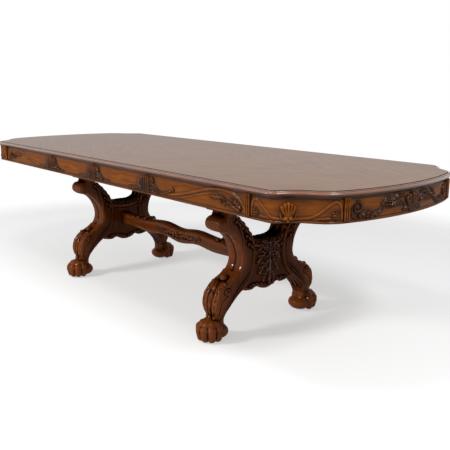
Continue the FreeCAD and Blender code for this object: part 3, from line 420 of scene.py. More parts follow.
class Block:
    """A block of wood that is carved as a distance field on a grid, negative inside."""

    FIELD_LIMIT = 0.014

    def __init__(self, low, high, step=CARVING_STEP):
        self.step = step
        self.axes = [np.arange(start, end + step, step) for start, end in zip(low, high)]
        self.field = np.full([len(axis) for axis in self.axes], step * 4, np.float64)
        # Darker and lighter patches over the block; on the legs, boards and stretcher they hold painted shade.
        self.stain_and_shade = 0.0

    def grid(self, spans=(slice(None),) * 3):
        x, y, z = [axis[span] for axis, span in zip(self.axes, spans)]
        return x[:, None, None], y[None, :, None], z[None, None, :]

    def from_outline(self, outline, first, second):
        """Signed distance to a closed outline in the plane of two axes, negative inside."""
        across, up = np.meshgrid(self.axes[first], self.axes[second], indexing="ij")
        nearest = np.full(across.shape, np.inf)
        inside = np.zeros(across.shape, bool)
        for start, end in zip(outline, np.roll(outline, -1, axis=0)):
            nearest = np.minimum(nearest, from_segment(across, up, start, end)[0])
            if start[1] != end[1]:
                crossing = start[0] + (up - start[1]) * (end[0] - start[0]) / (end[1] - start[1])
                inside ^= ((up < start[1]) != (up < end[1])) & (across < crossing)
        return np.where(inside, -nearest, nearest)

    def near(self, centre, reach):
        return tuple(slice(*np.searchsorted(axis, (place - reach, place + reach)))
                     for axis, place in zip(self.axes, centre))

    def join(self, spans, distance, blend):
        """Adds a shape, with a soft joint as wide as blend."""
        old = self.field[spans]
        share = np.clip(0.5 + 0.5 * (old - distance) / blend, 0, 1)
        self.field[spans] = old * (1 - share) + distance * share - blend * share * (1 - share)

    def ball(self, centre, radii, blend=0.003):
        spans = self.near(centre, max(radii) * 1.5 + blend + 2 * self.step)
        offsets = [(axis - place) / radius for axis, place, radius in zip(self.grid(spans), centre, radii)]
        reach = np.sqrt(offsets[0] ** 2 + offsets[1] ** 2 + offsets[2] ** 2)
        self.join(spans, (reach - 1) * min(radii), blend)

    def finger(self, start, end, radius, end_radius, blend):
        """A rounded stick that tapers from its start to its end."""
        start, end = np.array(start), np.array(end)
        spans = self.near((start + end) / 2, np.linalg.norm(end - start) / 2 + radius * 1.5 + blend)
        run = end - start
        x, y, z = [axis - place for axis, place in zip(self.grid(spans), start)]
        share = np.clip((x * run[0] + y * run[1] + z * run[2]) / (run @ run), 0, 1)
        reach = np.sqrt((x - share * run[0]) ** 2 + (y - share * run[1]) ** 2 + (z - share * run[2]) ** 2)
        self.join(spans, reach - radius - share * (end_radius - radius), blend)

    def piece(self, name, finish, place=(0, 0, 0)):
        grid = openvdb.FloatGrid(self.step * 4)
        grid.copyFromArray(self.field.astype(np.float32))
        grid.transform = openvdb.createLinearTransform(voxelSize=self.step)
        points, _, quads = grid.convertToPolygons(0.0, 0.0)
        cells = np.clip(np.rint(points / self.step).astype(int), 0, np.array(self.field.shape) - 1)
        solid = np.clip(self.field, -self.FIELD_LIMIT, self.FIELD_LIMIT)
        hollow = glaze_and_shade_of(solid, (2, 1100), (7, 170, 0.7), 0.1, 1.0, (0.8, 0.5)) + self.stain_and_shade
        low = np.array([axis[0] for axis in self.axes])
        return new_piece(name, [finish], points + low + np.array(place), quads, hollow=hollow[tuple(cells.T)],
                         smooth=None)


PEDESTAL_FINISH = {"recess": (0.0045, 0.0016, 0.0008), "rub": 0.8, "figure": 1.5, "polish": 0.1}
carved_wood = wood_finish("carved wood", dark=(0.046, 0.0095, 0.0017), light=(0.19, 0.048, 0.0075),
                          grain=(6.0, 6.0, 1.0), gloss=0.21, **PEDESTAL_FINISH)

leg_outer, leg_inner = [
    smooth_line([(reach * LEG_REACH, up * LEG_TOP) for reach, up in shares])
    for shares in (LEG_OUTER_SHARES, LEG_INNER_SHARES)]
leg_block = Block((-0.072, 0.07, LEG_FOOT - 0.006), (0.072, 0.402, LEG_TOP + 0.008))
leg_x, leg_y, leg_z = leg_block.grid()
leg_levels = leg_block.axes[2]
leg_side = leg_block.from_outline(np.vstack([leg_outer, leg_inner]), 1, 2)
half_width = np.interp(leg_levels / LEG_TOP, *zip(*LEG_WIDTH_SHARES)) * LEG_THICKNESS / 2

# Carving on the leg's flanks: a groove and a thin bead behind the outer reed, a scroll at the knee, soft
# ridges down the inside of the arm and small leaves that lean on them
flank = Relief(leg_block.axes[1], leg_levels)
reed_edge = smooth_line([
    (0.258, 0.562), (0.205, 0.535), (0.178, 0.49), (0.163, 0.44), (0.158, 0.385), (0.17, 0.33),
    (0.196, 0.285), (0.228, 0.246), (0.25, 0.222)])
flank.groove(reed_edge, 0.008, 0.005)
flank.bead(reed_edge + (0.004, 0.006), 0.01, 0.003, taper=0.5)
flank.scroll((0.266, 0.228), 0.017, 235, -1.35, 0.008, 0.0065)
flank.groove(smooth_line([(0.262, 0.208), (0.288, 0.19), (0.302, 0.16), (0.304, 0.125)]), 0.006, 0.004)
arm_line = leg_inner[(leg_inner[:, 1] > 0.36) & (leg_inner[:, 1] < 0.575)]
for offset, height in ((0.011, 0.003), (0.031, 0.0015)):
    flank.bead(arm_line + (offset, 0), 0.018, height, taper=0.7)
for reach, level in ((0.19, 0.54), (0.15, 0.505), (0.126, 0.465), (0.112, 0.425)):
    flank.leaves((0.022, 0.008, 2, (reach + 0.034, level + 0.01), (reach + 0.016, level),
                  (reach - 0.012, level - 0.026)))
flank.bead(smooth_line([(0.114, 0.3), (0.16, 0.255), (0.215, 0.205), (0.25, 0.15)]), 0.008, 0.0022, taper=0.5)

# Carving on its outer face: two fat reeds with a valley between, and leaves and stems over the knee. On its
# inner face: three long leaves
REED_DEPTH, REED_RADIUS = 0.009, 0.03
front = Relief(leg_block.axes[0], leg_levels)
front.height -= np.interp(leg_levels, (0.1, 0.13, 0.225, 0.285), (0.0, 0.004, 0.005, REED_DEPTH))[None, :]
for front.side in (-1, 1):
    spans, gap, _ = front.near([(0.027, 0.256), (0.028, 0.6)], 2 * REED_RADIUS)
    front.raise_to(spans, REED_DEPTH * (round_over(gap / REED_RADIUS) - 1))
    front.leaves((0.034, 0.005, 3, (0.02, 0.268), (0.042, 0.232), (0.047, 0.185), (0.036, 0.132)))
    front.bead(smooth_line([(0.012, 0.262), (0.027, 0.22), (0.026, 0.165), (0.018, 0.12)]), 0.015, 0.006, taper=0.5)
front.leaves((0.03, 0.008, 4, (0, 0.262), (0, 0.215), (0, 0.16), (0, 0.114)))
back = Relief(leg_block.axes[0], leg_levels)
for back.side in (-1, 0, 1):
    back.leaves((0.04, 0.009, 5, (0.036, 0.345), (0.036, 0.4), (0.036, 0.47), (0.036, 0.565)))
    back.bead([(0.03, 0.14), (0.03, 0.33)], 0.02, 0.003)


def reach_at_levels(shares):
    ups, reaches = zip(*sorted((up, reach) for reach, up in shares))
    return np.interp(leg_levels, np.array(ups) * LEG_TOP, np.array(reaches) * LEG_REACH)


middle_line = (reach_at_levels(LEG_OUTER_SHARES[5:]) + reach_at_levels(LEG_INNER_SHARES)) / 2
face_relief = np.where(leg_y > middle_line[None, None, :], front.height[:, None, :], back.height[:, None, :])
leg_block.field = rounded(leg_side[None, :, :] - face_relief,
                          np.abs(leg_x) - half_width[None, None, :] - flank.height[None, :, :], LEG_ROUND)

# The roll: five soft lobes that curl outwards at the arm's top, with two small curls below. Lobes of a leaf
# climb the inside of the arm, and a knob and two rows of lobes lie over the knee
ROLL_PLACE = (0.278, 0.537)
KNOB_PLACE = (0.235, 0.277)
for lobe in (-2, -1, 0, 1, 2):
    size = 0.93 if abs(lobe) == 2 else 1.0
    leg_block.ball((lobe * 0.019, *ROLL_PLACE), (0.02, 0.0365 * size, 0.0355 * size), blend=0.006)
leg_block.ball((0, *KNOB_PLACE), (0.018, 0.019, 0.017))
knee_line = leg_outer[leg_outer[:, 1] < 0.28][::-1]
for side in (-1, 1):
    leg_block.ball((side * 0.03, 0.243, 0.499), (0.015, 0.011, 0.01), blend=0.004)
    for level in (0.47, 0.497, 0.524, 0.551):
        inside = np.interp(level, leg_inner[:, 1], leg_inner[:, 0])
        leg_block.ball((side * 0.034, inside + 0.002, level), (0.02, 0.011, 0.013), blend=0.004)
    for level in (0.258, 0.232, 0.204, 0.176, 0.148):
        outside = np.interp(level, knee_line[:, 1], knee_line[:, 0])
        leg_block.ball((side * (0.034 + 0.05 * (level - 0.148)), outside - 0.006, level), (0.012, 0.01, 0.0125),
                       blend=0.002)

# The paw: toes like fat gadroons wrapped over a ball, each bent at its knuckle, under a collar of curls
PAW_PLACE, PAW_LEVEL = 0.317, 0.1
COLLAR_PLACE, COLLAR_LEVEL = 0.297, 0.11
KNEE_LEVEL = 0.185
leg_block.ball((0, 0.316, LEG_FOOT + 0.044), (0.05, 0.048, 0.046), blend=0.012)
leg_block.ball((0, 0.284, LEG_FOOT + 0.034), (0.06, 0.054, 0.036), blend=0.012)
for turn in np.radians((-98, -58, -19, 19, 58, 98)):

    def toe(reach, rise):
        return math.sin(turn) * reach, PAW_PLACE + math.cos(turn) * reach, LEG_FOOT + rise

    leg_block.finger(toe(0.012, 0.086), toe(0.036, 0.074), 0.014, 0.018, blend=0.01)
    leg_block.finger(toe(0.036, 0.07), toe(0.0475, 0.056), 0.018, 0.0225, blend=0.004)
    leg_block.finger(toe(0.0495, 0.044), toe(0.0445, 0.018), 0.0205, 0.019, blend=0.002)
for turn in np.radians((-135, -90, -45, 0, 45, 90, 135)):
    leg_block.ball((0.033 * math.sin(turn), COLLAR_PLACE + 0.025 * math.cos(turn), COLLAR_LEVEL),
                   (0.009, 0.009, 0.0095))
leg_block.field = np.maximum(leg_block.field, LEG_FOOT - leg_z)
# Painted shade darkens the inner faces and the flanks above the paw, where the stain is darker too; the outer face at
# the knee and the paw are made lighter.
inwards = np.clip((middle_line[None, None, :] + 0.02 - leg_y) / 0.05, 0, 1)
leg_block.stain_and_shade = (
    (0.42 * inwards + 0.2 * np.clip((np.abs(leg_x) - 0.046) / 0.006, 0, 1)) * (leg_z > PAW_LEVEL)
    - 0.7 * (1 - inwards) * np.exp(-((leg_z - KNEE_LEVEL) / 0.045) ** 2) - 0.35 * (leg_z < PAW_LEVEL))
leg = leg_block.piece("carved_right_leg_back", carved_wood, place=(PEDESTAL_PLACE, 0, 0))
fit_four(leg, twin(leg, "carved_right_leg_front", mirror=True), "leg", "base", "carved_wood")


# Boards between the legs. A thick board with a scalloped foot joins each pair of legs and takes the
# stretcher's bolts. Both faces are carved, and the outer one carries a large applied leaf.

PANEL_THICKNESS = 0.084
PANEL_ROUND = 0.008
PANEL_SHARES = [
    (0.0, 0.727), (0.18, 0.727), (0.3, 0.755), (0.39, 0.783), (0.39, 0.567), (0.45, 0.483),
    (0.6, 0.4), (0.6, 0.358), (0.51, 0.353), (0.39, 0.337), (0.285, 0.333), (0.195, 0.352),
    (0.12, 0.327), (0.0, 0.313)]


def fit_pair(piece, body, slot, node):
    """A piece on the right, and the same piece turned round for the left."""
    left_name, left_body, left_node = [text.replace("right", "left") for text in (piece.name, body, node)]
    fit(twin(piece, left_name, turn=True), left_body, slot, left_node)
    fit(piece, body, slot, node)


half_board = [(reach * LEG_REACH, up * LEG_TOP) for reach, up in PANEL_SHARES]
board_outline = smooth_line(half_board + [(-y, z) for y, z in reversed(half_board[1:-1])] + half_board[:1], 4)
board_block = Block((-0.06, -0.215, 0.17), (0.06, 0.215, 0.48))
board_x, _, board_z = board_block.grid()
board_side = board_block.from_outline(board_outline, 1, 2)
carving = Relief(*board_block.axes[1:])
carving.height = 0.002 * np.exp(-((board_side + 0.009) / 0.004) ** 2)
for carving.side in (-1, 1):
    carving.leaves((0.032, 0.006, 5, (0.004, 0.206), (0.045, 0.212), (0.09, 0.222), (0.125, 0.222)),
                   (0.036, 0.007, 5, (0.004, 0.424), (0.05, 0.424), (0.09, 0.44), (0.12, 0.462)))
carving.bead(smooth_line([(-0.105, 0.418), (-0.05, 0.406), (0, 0.402), (0.05, 0.406), (0.105, 0.418)]), 0.02, 0.005,
             taper=0.4)
board_block.field = rounded(
    board_side[None, :, :], np.abs(board_x) - PANEL_THICKNESS / 2 - carving.height[None, :, :], PANEL_ROUND)
# Painted shade: the board is darker all over, lying under the table, and darkest on its top face.
board_block.stain_and_shade = 0.42 + 0.6 * np.clip((board_z - 0.405) / 0.02, 0, 1)
fit_pair(board_block.piece("carved_right_board", carved_wood, place=(PEDESTAL_PLACE, 0, 0)),
         "base", "carved_wood", "right_pedestal_panel")

applied_leaf_wood = wood_finish("applied leaf wood", dark=(0.046, 0.0105, 0.0022), light=(0.19, 0.052, 0.0095),
                                grain=(6.0, 6.0, 1.0), gloss=0.7, dulled=0.8, **PEDESTAL_FINISH)
CARVED_FROM, CUT_AWAY, LEAF_SUNK = 0.0008, -0.006, 0.0035
STEEPNESS = 0.6
plaque_block = Block((-0.016, -0.09, 0.204), (0.036, 0.09, 0.44), step=0.0015)
plaque = Relief(*plaque_block.axes[1:])
plaque.leaves((0.062, 0.02, 6, (0, 0.424), (0, 0.37), (0, 0.3), (0, 0.216)))
for plaque.side in (-1, 1):
    plaque.leaves((0.044, 0.014, 4, (0.01, 0.416), (0.04, 0.41), (0.07, 0.38)),
                  (0.044, 0.015, 4, (0.01, 0.374), (0.044, 0.362), (0.076, 0.322)),
                  (0.042, 0.014, 4, (0.01, 0.326), (0.04, 0.308), (0.064, 0.266)),
                  (0.032, 0.013, 4, (0.008, 0.278), (0.028, 0.258), (0.036, 0.226)),
                  (0.022, 0.023, 3, (0.004, 0.38), (0.018, 0.35), (0.022, 0.31)))
    plaque.scroll((0.024, 0.398), 0.014, 270, 1.3, 0.008, 0.02)
    plaque.scroll((0.058, 0.345), 0.012, 90, 1.3, 0.007, 0.016)
plaque.flower((0, 0.392), 0.018, 0.026)
plaque_x = plaque_block.grid()[0]
plaque_rise = np.where(plaque.height > CARVED_FROM, plaque.height, CUT_AWAY)
plaque_block.field = np.maximum(plaque_x - plaque_rise[None, :, :], -LEAF_SUNK - plaque_x) * STEEPNESS
# The applied leaf is darker than the board: dark glazing, over the same painted shade.
plaque_block.stain_and_shade = 0.6
fit_pair(plaque_block.piece("applied_leaf_right", applied_leaf_wood,
                            place=(PEDESTAL_PLACE + PANEL_THICKNESS / 2, 0, 0)), "base", "carved_wood", "leaf_plaques")


# Stretcher. One long serpentine bar of the same wood, rounded, with a flower among leaves at its middle and
# small beads on its top near both ends. Its ends butt against the boards.

stretcher_wood = wood_finish("stretcher wood", dark=(0.04, 0.009, 0.0016), light=(0.14, 0.035, 0.0058),
                             grain=(1.0, 6.0, 6.0), gloss=0.24, **PEDESTAL_FINISH)
STRETCHER_THICKNESS = 0.064
STRETCHER_LEVEL = 0.324
STRETCHER_DEPTH = 0.078
STRETCHER_ROUND = 0.024
STRETCHER_TOP_SHARES = [(0.0, 0.46), (0.25, 0.64), (0.5, 0.5), (0.76, 0.43), (1.0, 0.56)]
STRETCHER_BOTTOM_SHARES = [(0.0, -0.58), (0.25, -0.35), (0.5, -0.5), (0.76, -0.44), (1.0, -0.5)]
stretcher_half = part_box("stretcher")[1][0]
bar_top, bar_bottom = [
    smooth_line([(share * stretcher_half, STRETCHER_LEVEL + wave * STRETCHER_DEPTH)
                 for share, wave in [(-share, wave) for share, wave in reversed(shares[1:])] + shares])
    for shares in (STRETCHER_TOP_SHARES, STRETCHER_BOTTOM_SHARES)]
bar_block = Block((-stretcher_half - 0.008, -0.044, 0.262), (stretcher_half + 0.008, 0.044, 0.392), step=0.0025)
bar_x, bar_y, bar_z = bar_block.grid()
bar_side = bar_block.from_outline(np.vstack([bar_top, bar_bottom[::-1]]), 0, 2)
bar_carving = Relief(bar_block.axes[0], bar_block.axes[2])
bar_carving.flower((0, 0.322), 0.026, 0.007, petals=8)
for bar_carving.side in (-1, 1):
    bar_carving.leaves((0.036, 0.0055, 5, (0.026, 0.32), (0.07, 0.334), (0.115, 0.326), (0.15, 0.336)),
                       (0.024, 0.005, 4, (0.03, 0.312), (0.07, 0.304), (0.11, 0.312)))
    bar_carving.scroll((0.15, 0.316), 0.016, 90, -1.3, 0.007, 0.0055)
    bar_carving.scroll((0.19, 0.34), 0.013, 270, 1.3, 0.006, 0.005)
bar_block.field = rounded(
    np.abs(bar_y) - STRETCHER_THICKNESS / 2 - bar_carving.height[:, None, :], bar_side[:, None, :], STRETCHER_ROUND)
for side in (-1, 1):
    for place, rise in ((0.33, 0.363), (0.405, 0.357), (0.455, 0.352)):
        for way in (-1, 1):
            bar_block.ball((side * place, way * 0.022, rise), (0.012, 0.009, 0.009), blend=0.004)
bar_block.field = np.maximum(bar_block.field, np.abs(bar_x) - stretcher_half)
# Painted shade: the stretcher's top, under the table, is darker along its middle.
bar_block.stain_and_shade = 0.75 * np.clip((bar_z - 0.345) / 0.012, 0, 1) * (np.abs(bar_y) < 0.026)
fit(bar_block.piece("carved_stretcher", stretcher_wood), "base", "carved_wood", "stretcher")


# Bearers. A plain dark beam lies across the rolls of each pedestal, with its two lower edges eased. It is
# bolted down into the legs, and the centre rails are bolted across it.

BEARER_EASE = 0.008
BEARER_STATIONS = 9


def sheet(grid):
    """Faces between the neighbours of a grid of point numbers."""
    return np.stack([grid[:-1, :-1], grid[:-1, 1:], grid[1:, 1:], grid[1:, :-1]], axis=-1).reshape(-1, 4)


def sleeve(rows, count):
    """Faces along a row of closed loops of points, and the caps over its two ends."""
    index = np.arange(rows * count).reshape(rows, count)
    return sheet(np.column_stack([index, index[:, 0]])), [index[0][::-1], index[-1]]


bearer_middle, bearer_half = (bearer_low[0] + bearer_high[0]) / 2, (bearer_high[0] - bearer_low[0]) / 2
eased = [(bearer_half - BEARER_EASE * (1 - math.cos(turn)), bearer_low[2] + BEARER_EASE * (1 - math.sin(turn)))
         for turn in np.radians(np.arange(0, 91, 15))]
upper_edge = [(way * bearer_half, bearer_high[2]) for way in (-1, 1)]
profile = eased + [(-x, z) for x, z in reversed(eased)] + upper_edge
bearer_points = [(bearer_middle + x, y, z)
                 for y in np.linspace(bearer_low[1], bearer_high[1], BEARER_STATIONS) for x, z in profile]
fit_pair(new_piece("eased_right_bearer", [carved_wood], bearer_points, *sleeve(BEARER_STATIONS, len(profile))),
         "base", "carved_wood", "right_bearer")


# Slides and fittings. Centre rails, runners, racks and glue blocks are pale unstained hardwood; pinions,
# pins, screws, bolts and studs are zinc-plated steel, the locks are brass and the glides dark nylon.

slide_wood = wood_finish(
    "unstained hardwood", dark=(0.3, 0.17, 0.075), light=(0.52, 0.33, 0.17), recess=(0.2, 0.11, 0.05),
    grain=(1.0, 8.0, 8.0), gloss=0.05, shine=0.4)


def metal_finish(name, colour, roughness):
    finish = Finish(name, Metallic=1.0)
    place = finish.node("ShaderNodeTexCoord", output="Object")
    scratches, tarnish = finish.noise(place, 240.0, 4.0), finish.noise(place, 30.0, 3.0)
    dull = tuple(channel * 0.6 for channel in colour)
    return finish.feed(Base_Color=finish.blend(tarnish, dull, colour), Roughness=scratches * 0.3 + roughness)


steel = metal_finish("plated steel", (0.62, 0.62, 0.6), 0.22)
brass = metal_finish("lock brass", (0.72, 0.5, 0.2), 0.18)
nylon = Finish("glide nylon", Roughness=0.5)
speckle = nylon.node("ShaderNodeTexNoise", {}, {"Scale": 400.0, "Detail": 2.0})
nylon.feed(Base_Color=nylon.blend(speckle, (0.01, 0.009, 0.008), (0.03, 0.026, 0.022)))


def refinish(material, *nodes):
    """CAD pieces keep their shapes and get their own finish."""
    for node in nodes:
        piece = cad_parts[node]
        if not piece.material_slots:
            piece.data.materials.append(material)
        for slot in piece.material_slots:
            slot.material = material


for side in ("right", "left"):
    refinish(slide_wood, *[f"{side}_{stem}" for stem in ("runner_back", "runner_front", "racks", "corner_blocks")])
    refinish(steel, f"{side}_screws", f"{side}_leaf_studs")
    refinish(brass, f"{side}_lock_back", f"{side}_lock_front")
refinish(slide_wood, "centre_rail_back", "centre_rail_front")
refinish(steel, "pinion_back", "pinion_front", "pinion_pins", "bearer_bolts", "stretcher_bolts")
refinish(nylon.material, "floor_glides")


# Top boards. Each half and each leaf is a veneered board, flat and polished. Its veneer is matched about the
# middle of the table, so that faint slanted streaks meet in wide diamonds.

veneer = wood_finish(
    "top veneer", dark=(0.108, 0.048, 0.022), light=(0.2, 0.1, 0.05), recess=(0.05, 0.02, 0.01),
    grain=(1.0, 9.0, 1.0), gloss=0.42, scale=0.8, bump=0.02, figure=2.2, slant=0.45)
refinish(veneer, "right_top_panel", "right_leaf_panel", "left_top_panel", "left_leaf_panel")


# Moulded edges. A solid band is glued round each board and moulded. The veneer runs over its inner part to a
# quirk; then come a small bead, a second quirk, a thumbnail, a fillet and a hollow down to the apron.

TOP_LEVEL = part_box("right_top_panel")[1][2]
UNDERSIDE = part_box("right_top_panel")[0][2]
HALF_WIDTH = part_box("right_edge_moulding")[1][1]
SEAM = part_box("right_edge_moulding")[0][0]
HALF_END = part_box("right_edge_moulding")[1][0]
NOSE_RADIUS, NOSE_TURN = 0.048, 62.0
FLAT_LENGTH = 0.006
HOLLOW_RADIUS, HOLLOW_TURN = 0.19, 32.0
SHOULDER_RADIUS, SHOULDER_TURN = 0.169, 44.0
PATH_STEP = 0.001


def outward(heading):
    angle = np.radians(heading)
    return np.stack([np.sin(angle), np.cos(angle)], axis=-1)


def edge_path():
    """Plan of the right half's back edge, sampled every millimetre, with its outward headings."""
    headings = [np.array([0.0])]
    places = [np.array([[0.0, HALF_WIDTH]])]

    def arc(radius, turn):
        start, heading = places[-1][-1], headings[-1][-1]
        count = max(int(abs(radius * math.radians(turn)) / PATH_STEP), 2)
        steps = np.linspace(heading, heading + turn, count + 1)[1:]
        places.append(start + radius * (outward(steps) - outward(heading)))
        headings.append(steps)

    arc(NOSE_RADIUS, NOSE_TURN)
    ahead = outward(headings[-1][-1] + 90)
    places.append(places[-1][-1] + ahead * FLAT_LENGTH * np.linspace(0.2, 1, 5)[:, None])
    headings.append(np.full(5, headings[-1][-1]))
    arc(-HOLLOW_RADIUS, -HOLLOW_TURN)
    arc(SHOULDER_RADIUS, SHOULDER_TURN)
    bow_heading = headings[-1][-1]
    bow_radius = places[-1][-1][1] / math.cos(math.radians(bow_heading))
    arc(bow_radius, 90 - bow_heading)
    corner, headings = np.vstack(places), np.concatenate(headings)
    corner[:, 0] += HALF_END - corner[-1, 0]
    straight = np.arange(SEAM, corner[0, 0], PATH_STEP)
    side = np.stack([straight, np.full(len(straight), HALF_WIDTH)], axis=1)
    return np.vstack([side, corner]), np.concatenate([np.zeros(len(straight)), headings])


path_points, path_headings = edge_path()
path_lengths = np.concatenate([[0], np.cumsum(np.linalg.norm(np.diff(path_points, axis=0), axis=1))])
PATH_LENGTH = path_lengths[-1]
NOSE_START = path_lengths[np.argmax(path_headings > 0) - 1]
HOLLOW_START = NOSE_START + NOSE_RADIUS * math.radians(NOSE_TURN) + FLAT_LENGTH
BOW_START = HOLLOW_START + HOLLOW_RADIUS * math.radians(HOLLOW_TURN) + SHOULDER_RADIUS * math.radians(SHOULDER_TURN)


def edge_place(run):
    """Points and outward directions at distances from the seam; past the middle of the end they mirror."""
    run = np.asarray(run, float)
    mirrored = run > PATH_LENGTH
    folded = np.where(mirrored, 2 * PATH_LENGTH - run, run)
    x = np.interp(folded, path_lengths, path_points[:, 0])
    y = np.interp(folded, path_lengths, path_points[:, 1]) * np.where(mirrored, -1, 1)
    out = outward(np.interp(folded, path_lengths, path_headings))
    out[..., 1] *= np.where(mirrored, -1, 1)
    return np.stack([x, y], axis=-1), out


# Each point gives an inset, a rise and a dark value: painted shade with dark glazing in the two quirks, and in the
# fillet and hollow down to the apron.
MOULDING_PROFILE = [
    (0.038, 0.0, 0.0), (0.0205, 0.0, 0.0), (0.0202, -0.0008, 1.0), (0.0196, -0.004, 1.0),
    (0.0165, -0.004, 1.0), (0.0158, -0.0024, 0.3), (0.014, -0.0018, 0.0), (0.0116, -0.0022, 0.0),
    (0.0104, -0.0036, 0.3), (0.0098, -0.0052, 1.0), (0.0082, -0.0054, 1.0), (0.007, -0.0046, 0.0),
    (0.0046, -0.005, 0.0), (0.002, -0.0066, 0.0), (0.0005, -0.0088, 0.0), (0.0, -0.0108, 0.0),
    (0.0006, -0.0124, 0.0), (0.0022, -0.0136, 0.3), (0.0046, -0.014, 0.9), (0.0048, -0.0154, 0.7),
    (0.0056, -0.0168, 0.5), (0.0074, -0.0186, 0.4), (0.0098, -0.0198, 0.4), (0.012, -0.0206, 0.8),
    (0.012, -0.022, 0.8), (0.038, -0.022, 0.0)]
edge_wood = wood_finish(
    "edge moulding wood", dark=(0.09, 0.024, 0.006), light=(0.2, 0.06, 0.016), recess=(0.01, 0.004, 0.002),
    grain=(1.0, 8.0, 8.0), gloss=1.0, shine=0.3, source="fibre", polish=0.27)


def swept(name, runs, place=edge_place):
    """The moulding's profile of insets, rises and dark values (glazing and painted shading in the quirks and the
    hollow), carried along a run of the edge. The first face of each step is the veneered one."""
    points, out = place(runs)
    inset, rise, glaze_and_shade = np.transpose(MOULDING_PROFILE)
    rows, count = len(runs), len(inset)
    grid = np.dstack([points[:, None, :] - out[:, None, :] * inset[None, :, None],
                      np.broadcast_to(TOP_LEVEL + rise, (rows, count))])
    fibre = np.column_stack([np.repeat(runs, count), np.tile(inset, rows), np.tile(rise, rows)])
    piece = new_piece(name, [edge_wood, veneer], grid.reshape(-1, 3), *sleeve(rows, count), np.tile(glaze_and_shade, rows),
                      smooth=50, fibre=fibre)
    for face in range(0, (rows - 1) * count, count):
        piece.data.polygons[face].material_index = 1
    return piece


edge_runs = np.concatenate([
    np.linspace(0, NOSE_START, 30, endpoint=False),
    np.linspace(NOSE_START, BOW_START, 150, endpoint=False),
    np.linspace(BOW_START, PATH_LENGTH, 60)])
edge_runs = np.concatenate([edge_runs, 2 * PATH_LENGTH - edge_runs[-2::-1]])
fit_pair(swept("moulded_right_edge", edge_runs), "right_half", "apron_wood", "right_edge_moulding")


# Aprons. Boards of stained hardwood stand under the moulded edge, carved in low relief: serpentine
# mouldings, rosettes and leaf sprays, with a bead along the lower edge. They are glued to blocks inside.

APRON_LOW, APRON_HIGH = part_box("right_side_apron_back")[0][2], UNDERSIDE
APRON_OVERHANG = 0.016
APRON_THICKNESS = 0.02
RELIEF_STEP = 0.0014
LOWER_BEAD_RADIUS, LOWER_BEAD_HEIGHT = 0.0045, 0.003
LOWER_QUIRK_LEVEL, LOWER_QUIRK_DEPTH = 0.011, 0.0016
COVE_LEVEL, COVE_HEIGHT, COVE_REACH = 0.083, 0.009, 0.004
STRIP_PLACE = 0.625
CORNER_LENGTH = BOW_START - STRIP_PLACE
END_LENGTH = 2 * (PATH_LENGTH - BOW_START)
SHELL_PLACE = HOLLOW_START + 0.03
SHELL_MIDDLE = SHELL_PLACE - STRIP_PLACE
apron_wood = wood_finish(
    "apron wood", dark=(0.112, 0.029, 0.0042), light=(0.275, 0.077, 0.0095), recess=(0.028, 0.01, 0.0038),
    grain=(1.0, 7.0, 7.0), gloss=0.14, source="fibre", rub=0.6, figure=2.0, dulled=-1.2)


def apron_relief(length):
    """A plain apron's face: a bead and a quirk along its lower edge, and a cove under the moulded edge."""
    relief = Relief(np.linspace(0, length, int(length / RELIEF_STEP)), np.arange(APRON_LOW, APRON_HIGH, RELIEF_STEP))
    relief.axes[1][-1] = APRON_HIGH
    rise = relief.axes[1] - APRON_LOW
    bead = LOWER_BEAD_HEIGHT * round_over((rise - LOWER_BEAD_RADIUS) / LOWER_BEAD_RADIUS)
    quirk = LOWER_QUIRK_DEPTH * np.exp(-((rise - LOWER_QUIRK_LEVEL) / Relief.QUIRK_WIDTH) ** 2)
    cove = COVE_REACH * np.clip((rise - COVE_LEVEL) / COVE_HEIGHT, 0, 1) ** 2
    relief.height += (bead - quirk + cove)[None, :]
    # Painted shade: darker along the lower bead and quirk, and in the cove under the moulded edge.
    relief.stain_and_shade += (0.45 * (rise < 0.012) + 0.6 * np.clip((rise - 0.08) / 0.008, 0, 1))[None, :]
    return relief


def carved_rows(relief, start, place, depth, levels):
    """Rows of points over a carved face and then, at a depth behind it, at some levels, with the dark value
    (glazing and painted shading) and the grain's place at each point."""
    runs, rises = relief.axes[0] + start, relief.axes[1]
    points, out = place(runs)
    behind = np.zeros((len(runs), len(levels)))
    inset = np.column_stack([APRON_OVERHANG - relief.height, behind + depth])
    rows = np.dstack([points[:, None, :] - out[:, None, :] * inset[:, :, None],
                      np.broadcast_to(np.concatenate([rises, levels]), inset.shape)])
    grain = np.dstack(np.broadcast_arrays(runs[:, None], np.concatenate([rises, behind[0]]), 0.0))
    return {"points": rows.reshape(-1, 3), "hollow": np.column_stack([relief.hollows(), behind]), "fibre": grain}


def carved_apron(name, relief, start, place=edge_place):
    """A board with its carved face outwards and a plain back."""
    rises = relief.axes[1]
    rows = carved_rows(relief, start, place, APRON_OVERHANG + APRON_THICKNESS, (rises[-1], rises[0]))
    quads, caps = sleeve(len(relief.axes[0]), len(rises) + 2)
    return new_piece(name, [apron_wood], quads=quads, others=caps, **rows)


